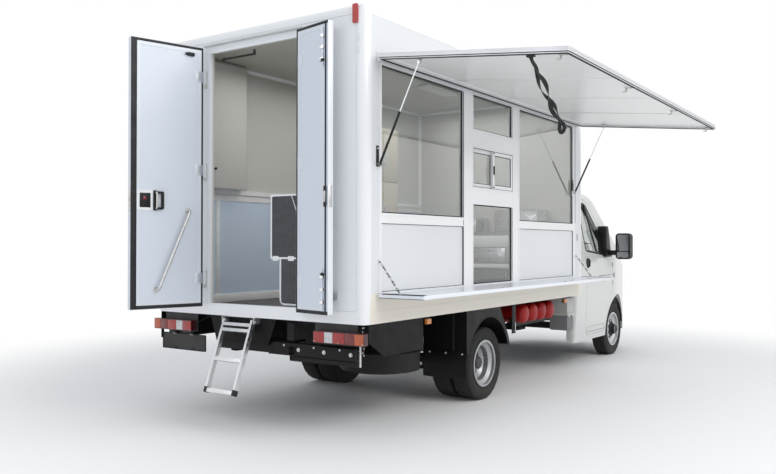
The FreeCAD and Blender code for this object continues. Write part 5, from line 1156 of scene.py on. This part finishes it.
def skin_band(piece, corners, wide, low, high, closed=False, side=1, front=False):
    """Band that follows the cab's skin along (u, v, radius) corners."""
    line = divided(rounded(corners, closed), SKIN_STEP, closed)
    part = bmesh.new()
    rings = []
    count = len(line)
    for i, here in enumerate(line):
        ahead = line[(i + 1) % count] if closed or i < count - 1 else here
        back = line[i - 1] if closed or i > 0 else here
        way = (ahead - back).normalized()
        across = Vector((-way.y, way.x)) * wide / 2
        spots = []
        for spot in (here - across, here + across):
            level = front_y(spot.x, spot.y) if front else side_x(spot.x, spot.y)
            for proud_by in (low, high):
                at = level + proud_by
                spots.append((spot.x, at, spot.y) if front else (side * at, spot.x, spot.y))
        rings.append([part.verts.new(spots[k]) for k in (0, 1, 3, 2)])
    tube(part, rings, closed)
    return piece.take(part)


for side, name in ((1, "right"), (-1, "left")):
    door = name + "_cab_door"
    out = (side, 0, 0)
    p = Piece("window_trim_" + name, "rubber", door)
    skin_band(p, [(W - 1.122, 1.382, 0.05), (W - 1.122, 1.96, 0.05), (W - 0.884, 1.96, 0.07),
                  (W - 0.39, 1.392, 0.03), (W - 0.39, 1.318, 0.02)], 0.022, -0.004, 0.003, True, side)
    skin_band(p, [(W - 0.886, 1.948, 0), (W - 0.752, 1.372, 0)], 0.03, -0.012, 0.0015, side=side)
    p = Piece("mirror_sail_" + name, "plastic", door)
    skin_band(p, [(W - 0.585, 1.335, 0), (W - 0.565, 1.64, 0)], 0.15, -0.004, 0.006, side=side)
    skin_band(p, [(W - 0.47, 1.33, 0), (W - 0.5, 1.56, 0)], 0.12, -0.004, 0.005, side=side)
    p.sheet([(W - 0.575, 1.38, 0.02), (W - 0.575, 1.69, 0.03), (W - 0.49, 1.69, 0.04), (W - 0.395, 1.38, 0.02)],
            "YZ", *sorted((side * 0.955, side * 1.064)), 0.004)
    p.block((side * 1.05, side * 1.175), (W - 0.497, W - 0.407), (1.322, 1.384), 0.012)
    p = Piece("mirror_glasses_" + name, "mirror", door)
    for z in ((1.376, 1.58), (1.29, 1.364)):
        p.sheet(rectangle(sorted((side * 1.18, side * 1.326)), z, 0.022), "XZ", W - 0.5036, W - 0.5015)
    p = Piece("mirror_bezels_" + name, "plastic", door)
    for z in ((1.37, 1.586), (1.284, 1.37)):
        p.rim(sorted((side * 1.174, side * 1.332)), z, (0, 0.006), "XZ", W - 0.506, W - 0.5015, (0.026, 0.021))
    p = Piece("cab_door_handle_" + name, "plastic", door)
    y, z = W - 1.115, 1.231
    x = side_x(y, z)
    p.lathe([(-0.006, 0.0), (-0.006, 0.058), (0.003, 0.06), (0.006, 0.057), (0.006, 0.05), (0.0025, 0.046),
             (0.0025, 0.0)], (side * x, y, z), out, 40)
    p.pipe([(side * (x - 0.002), y - 0.002, z + 0.05, 0), (side * (x + 0.022), y, z + 0.038, 0.015),
            (side * (x + 0.022), y, z - 0.038, 0.015), (side * (x - 0.002), y - 0.002, z - 0.05, 0)],
           0.014, 0.008, sides=12)
    p = Piece("door_moulding_" + name, "plastic", door)
    skin_band(p, [(W - 0.74, 1.067, 0), (W - 0.3, 1.067, 0)], 0.006, -0.003, 0.0015, side=side)
    p = Piece("step_flap_line_" + name, "sealant")
    skin_band(p, [(W - 1.13, 0.365, 0.02), (W - 1.13, 0.455, 0.02), (W - 0.54, 0.455, 0.02),
                  (W - 0.5, 0.365, 0.02)], 0.004, -0.003, 0.0008, True, side)
    y, z = W - 0.176, 1.059
    at = (side * side_x(y, z), y, z)
    p = Piece("side_repeater_" + name, "lens_clear")
    p.lathe([(-0.004, 0.0), (-0.004, 0.024), (0.004, 0.024), (0.01, 0.018), (0.013, 0.0)], at, out, 32)
    p = Piece("side_repeater_ring_" + name, "plastic")
    p.lathe([(-0.004, 0.0245), (-0.004, 0.03), (0.003, 0.029), (0.005, 0.0245)], at, out, 32, closed=True)
    p = Piece("headlamp_reflectors_" + name, "chrome")
    for x, size in ((0.665, 0.062), (0.8, 0.055)):
        z = 0.925
        p.lathe([(-0.01, size), (0.002, size), (0.004, size - 0.004), (0.0, size - 0.01), (-0.006, 0.0)],
                (side * x, front_y(x, z) + 0.003, z), (side * 0.35, 1, 0.2), 40)

p = Piece("windscreen_seal", "rubber")
skin_band(p, [(-0.888, 1.338, 0.06), (-0.742, 2.034, 0.08), (0.742, 2.034, 0.08), (0.888, 1.338, 0.06)],
          0.02, -0.004, 0.003, True, front=True)
p = Piece("wipers", "plastic")
for x0, x1 in ((-0.62, -0.05), (0.1, 0.66)):
    low, high = 1.4, 1.47
    foot, tip = front_y(x0, low), front_y(x1, high)
    middle, blade = front_y((x0 + x1) / 2, high), front_y(x0 + 0.18, high)
    p.pipe([(x0, foot + 0.01, low, 0), ((x0 + x1) / 2, middle + 0.03, high, 0.05), (x1, tip + 0.016, high, 0)],
           0.0045)
    p.lathe([(0, 0), (0, 0.016), (0.016, 0.014), (0.02, 0)], (x0, foot - 0.004, low), (0, 1, 0.6), 20)
    p.pipe([(x0 + 0.18, blade + 0.007, high, 0), (x1, tip + 0.007, high, 0)], 0.004, 0.007)
p = Piece("front_plate_holder", "plastic")
y = front_y(0, 0.6) + 0.001
p.block((-0.265, 0.265), (y - 0.002, y + 0.006), (0.545, 0.665), 0.003)

p = Piece("dashboard_fittings", "plastic")
DASH_Y = W - 0.402
for x in (-0.56, -0.4):
    p.lathe([(0, 0.058), (0.01, 0.056), (0.01, 0.05), (0.004, 0.048), (0.004, 0.0)], (x, DASH_Y - 0.002, 1.285),
            (0, -1, 0.15), 32)
for x in (-0.1, 0.06):
    for z in (1.215, 1.245, 1.275):
        p.block(near(x, 0.065), (DASH_Y - 0.006, DASH_Y + 0.012), near(z, 0.008), 0.002)
p.block((0.32, 0.72), (DASH_Y - 0.005, DASH_Y + 0.014), (1.2, 1.3), 0.008)

# Seats
SEAT_FLOOR = 0.73
VOXEL, PRESSURE, FRAMES, MOST_MOVE = 0.012, 4.0, 14, 0.022
CHANNEL_HALF, FACING = 0.016, 0.4


def inflated(outline, half_width, inset, crown):
    """Cushion with an outline in the YZ plane, puffed up by cloth under pressure."""
    part = bmesh.new()
    points = rounded(outline)
    centre = sum(points, Vector((0, 0))) / len(points)
    spots = [centre + (p - centre) * (1 - inset / (p - centre).length) for p in points]
    low = inset - half_width
    ends = pulled(part, [(low, p.x, p.y) for p in spots], (-2 * low, 0, 0))
    soften(part, ends, crown, 4, 0.6)
    mesh = bpy.data.meshes.new("soft")
    bmesh.ops.recalc_face_normals(part, faces=part.faces)
    part.to_mesh(mesh)
    part.free()
    obj = bpy.data.objects.new("soft", mesh)
    scene.collection.objects.link(obj)
    remesh = obj.modifiers.new("remesh", "REMESH")
    remesh.mode = "VOXEL"
    remesh.voxel_size = VOXEL
    graph = bpy.context.evaluated_depsgraph_get()
    start = bpy.data.meshes.new_from_object(obj.evaluated_get(graph))
    obj.modifiers.remove(remesh)
    obj.data = start
    cloth = obj.modifiers.new("cloth", "CLOTH")
    how = cloth.settings
    how.use_pressure = True
    how.uniform_pressure_force = PRESSURE
    how.effector_weights.gravity = 0
    how.tension_stiffness = how.compression_stiffness = 20
    how.bending_stiffness = 2
    cloth.point_cache.frame_end = FRAMES
    for step in range(1, FRAMES + 1):
        scene.frame_set(step)
    graph = bpy.context.evaluated_depsgraph_get()
    puffed = bpy.data.meshes.new_from_object(obj.evaluated_get(graph))
    scene.frame_set(1)
    for before, after in zip(start.vertices, puffed.vertices):
        way = after.co - before.co
        if way.length > MOST_MOVE:
            after.co = before.co + way.normalized() * MOST_MOVE
    start = puffed
    bpy.data.objects.remove(obj)
    return start


def channels(mesh, axis, places, depth, facing):
    """Sewn channels across the side of a cushion that faces along an axis."""
    for vert in mesh.vertices:
        for place in places:
            gap = abs(vert.co[axis] - place) / CHANNEL_HALF
            if vert.normal[facing] > FACING and gap < 1:
                vert.co -= vert.normal * depth * (1 - gap) ** 2


def seat_piece(mesh, name, x, stretch):
    """One cushion at its seat."""
    copy = mesh.copy()
    copy.name = name
    copy.transform(Matrix.Translation((x, 0, 0)) @ Matrix.Diagonal((stretch, 1, 1, 1)))
    obj = shown(copy, "fabric")
    smooth = obj.modifiers.new("smooth", "SUBSURF")
    smooth.levels = smooth.render_levels = 1
    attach(obj, "truck")
    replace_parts(obj, "seats")


ARM = 0.21
z = SEAT_FLOOR
cushion = inflated([(W - 1.282, z + 0.335, 0.04), (W - 0.82, z + 0.335, 0.05), (W - 0.82, z + 0.462, 0.05),
                    (W - 1.282, z + 0.44, 0.04)], ARM, 0.01, 0.03)
back = inflated([(W - 1.322, z + 0.4, 0.03), (W - 1.205, z + 0.4, 0.05), (W - 1.302, z + 1.055, 0.05),
                 (W - 1.41, z + 1.055, 0.04)], ARM, 0.01, 0.03)
head = inflated([(W - 1.408, z + 1.07, 0.03), (W - 1.316, z + 1.07, 0.03), (W - 1.316, z + 1.195, 0.04),
                 (W - 1.408, z + 1.195, 0.04)], 0.108, 0.008, 0.02)
channels(cushion, 0, (-0.12, 0.12), 0.01, 2)
channels(cushion, 1, (W - 1.06,), 0.008, 2)
channels(back, 0, (-0.12, 0.12), 0.01, 1)
channels(back, 2, (z + 0.7,), 0.008, 1)
p = Piece("seat_bases", "plastic")
for x, half_width, name in ((-0.56, 0.21, "driver"), (0.02, 0.225, "middle"), (0.52, 0.225, "right")):
    seat_piece(cushion, "seat_cushion_" + name, x, half_width / ARM)
    seat_piece(back, "seat_back_" + name, x, half_width / ARM)
    seat_piece(head, "headrest_" + name, x, 1.0)
    p.sheet(rectangle((x - half_width, x + half_width), (W - 1.324, W - 0.84), 0.02, 0.004), "XY",
            z + 0.0305, z + 0.334, 0.006)
    for dx in (-0.06, 0.06):
        p.bar((x + dx, W - 1.36, z + 1.045), (x + dx, W - 1.36, z + 1.08), 0.007)
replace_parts(p.done(), "seats")

# Strut feet and front post
STRUT_FEET = (-1.936, 1.89)
p = Piece("strut_foot_bolts", "zinc")
for y in STRUT_FEET:
    for z in (2.045, 2.16):
        p.bolt((1.1285, y, z), RIGHT, 0.006, 0.005)
p = Piece("strut_foot_plates", "plastic")
for y in STRUT_FEET:
    p.block((1.1245, 1.1287), near(y, 0.016), (2.025, 2.18), 0.0015)
p = Piece("front_post_slot", "sealant", slot="bare_aluminium")
p.block((1.124, 1.1262), (2.012, 2.028), (1.5, 1.578), 0.0008)

# Webbing strap of the awning, doubled and twisted, with a loop at its end
STRAP_HALF, STRAP_THICK, STRAP_TURNS = 0.014, 0.0016, 2.5
SWAY, SAG = 0.022, 0.02
p = Piece("awning_pull_strap", "webbing", "awning")
top, tip = Vector((2.352, -1.962, 2.672)), Vector((2.56, -1.962, 2.215))
run = tip - top
side_way = Vector((run.z, 0, -run.x)).normalized()
for phase in (0, math.pi):
    part = bmesh.new()
    rings = []
    for t in spaced(0, 1, 61):
        belly = math.sin(math.pi * t)
        spin = STRAP_TURNS * math.pi * t
        turn = spin + phase * 0.3
        wide = (side_way * math.cos(turn) + Vector(AHEAD) * math.sin(turn)) * STRAP_HALF
        thick = wide.cross(run).normalized() * STRAP_THICK
        here = top + run * t + side_way * (SWAY * belly * math.cos(spin + phase)) + Vector((0, 0, -SAG * belly))
        rings.append([part.verts.new(here + wide * u + thick * v) for u, v in SQUARE])
    tube(part, rings)
    p.take(part)
loop = []
for turn in ring(24):
    drop = 0.024 - (0.03 - 0.006 * math.cos(turn)) * math.sin(turn)
    loop.append((tip.x + 0.004 + 0.017 * math.cos(turn), tip.y, tip.z - drop, 0))
p.pipe(loop, 0.0018, 0.012, closed=True, square=True)
p.block((2.325, 2.38), (-1.98, -1.944), (2.664, 2.676), 0.003)
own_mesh(p.done())

# Pieces that aren't objects yet
for piece in list(pieces):
    piece.done()


# Camera, light, floor
def placed(data, place):
    obj = bpy.data.objects.new(data.name, data)
    scene.collection.objects.link(obj)
    obj.matrix_world = place
    return obj


CAMERA_AT = (4.50165, -6.72327, 1.45418)
CAMERA_TURNS = ((34.437, "Z"), (90.535, "X"), (0.065, "Z"))
LENS = 37.06
FLOOR_RADIUS, FADE_START, FADE_END = 120, 3.6, 7.0


def camera():
    data = bpy.data.cameras.new("camera")
    data.sensor_width = 36
    data.lens = LENS
    data.clip_end = 500
    place = Matrix.Translation(CAMERA_AT)
    for degrees, axis in CAMERA_TURNS:
        place = place @ Matrix.Rotation(math.radians(degrees), 4, axis)
    scene.camera = placed(data, place)


def softbox(name, at, target, size, power, colour):
    data = bpy.data.lights.new(name, "AREA")
    data.shape = "RECTANGLE"
    data.size, data.size_y = size
    data.energy = power
    data.color = colour
    aim = (Vector(target) - Vector(at)).to_track_quat("-Z", "Y").to_matrix().to_4x4()
    return placed(data, Matrix.Translation(at) @ aim)


def seen_directly(tree):
    """1 for what the camera, glossy and glass rays see."""
    rays = tree.add("LightPath", {}).outputs
    total = tree.math("MAXIMUM", rays["Is Camera Ray"], rays["Is Glossy Ray"])
    return tree.math("MAXIMUM", total, rays["Is Transmission Ray"])


def mixed(tree, factor, first, second, output):
    mix = tree.add("MixShader", {0: factor, 1: first.outputs[0], 2: second.outputs[0]})
    tree.put(tree.nodes[output], {0: mix.outputs[0]})


def studio():
    """White all round for the rays that see it, a cooler and weaker sky as light, and a white floor."""
    scene.world = bpy.data.worlds.new("studio")
    sky = Nodes(scene.world)
    lit = sky.put(sky.nodes["Background"], {"Color": (0.93, 0.96, 1.0, 1), "Strength": 0.77})
    white = sky.add("Background", {"Color": (1, 1, 1, 1), "Strength": 1.0})
    mixed(sky, seen_directly(sky), lit, white, "World Output")
    softbox("side_light", (9.0, -1.5, 6.5), (1.0, 0.0, 1.4), (7, 5), 420, (1.0, 0.985, 0.96))
    softbox("rear_light", (-1.0, -10.0, 5.5), (0, -2.0, 1.5), (6, 4), 60, (0.9, 0.95, 1.0))
    room = softbox("room_light", (0.1, 0.1, 3.08), (0.0999, 0.1, 0), (1.6, 3.8), 32, (1.0, 0.99, 0.96))
    room.visible_camera = room.visible_glossy = room.visible_transmission = False
    mesh = bpy.data.meshes.new("floor")
    form = bmesh.new()
    bmesh.ops.create_circle(form, cap_ends=True, segments=96, radius=FLOOR_RADIUS)
    form.to_mesh(mesh)
    form.free()
    ground = Shader("floor", (0.9, 0.9, 0.9), 0.9, specular=0.1)
    distance = ground.add("VectorMath", {0: ground.place}, operation="LENGTH").outputs["Value"]
    inputs = {"From Min": FADE_START, "From Max": FADE_END, "Value": distance}
    fade = ground.add("MapRange", inputs, interpolation_type="SMOOTHSTEP").outputs["Result"]
    factor = ground.math("MULTIPLY", fade, seen_directly(ground))
    mixed(ground, factor, ground.surface, ground.add("Emission", {}), "Material Output")
    mesh.materials.append(ground.material)
    placed(mesh, Matrix.Translation((0, 1.3, 0)))


camera()
studio()
scene.view_settings.view_transform = "Standard"
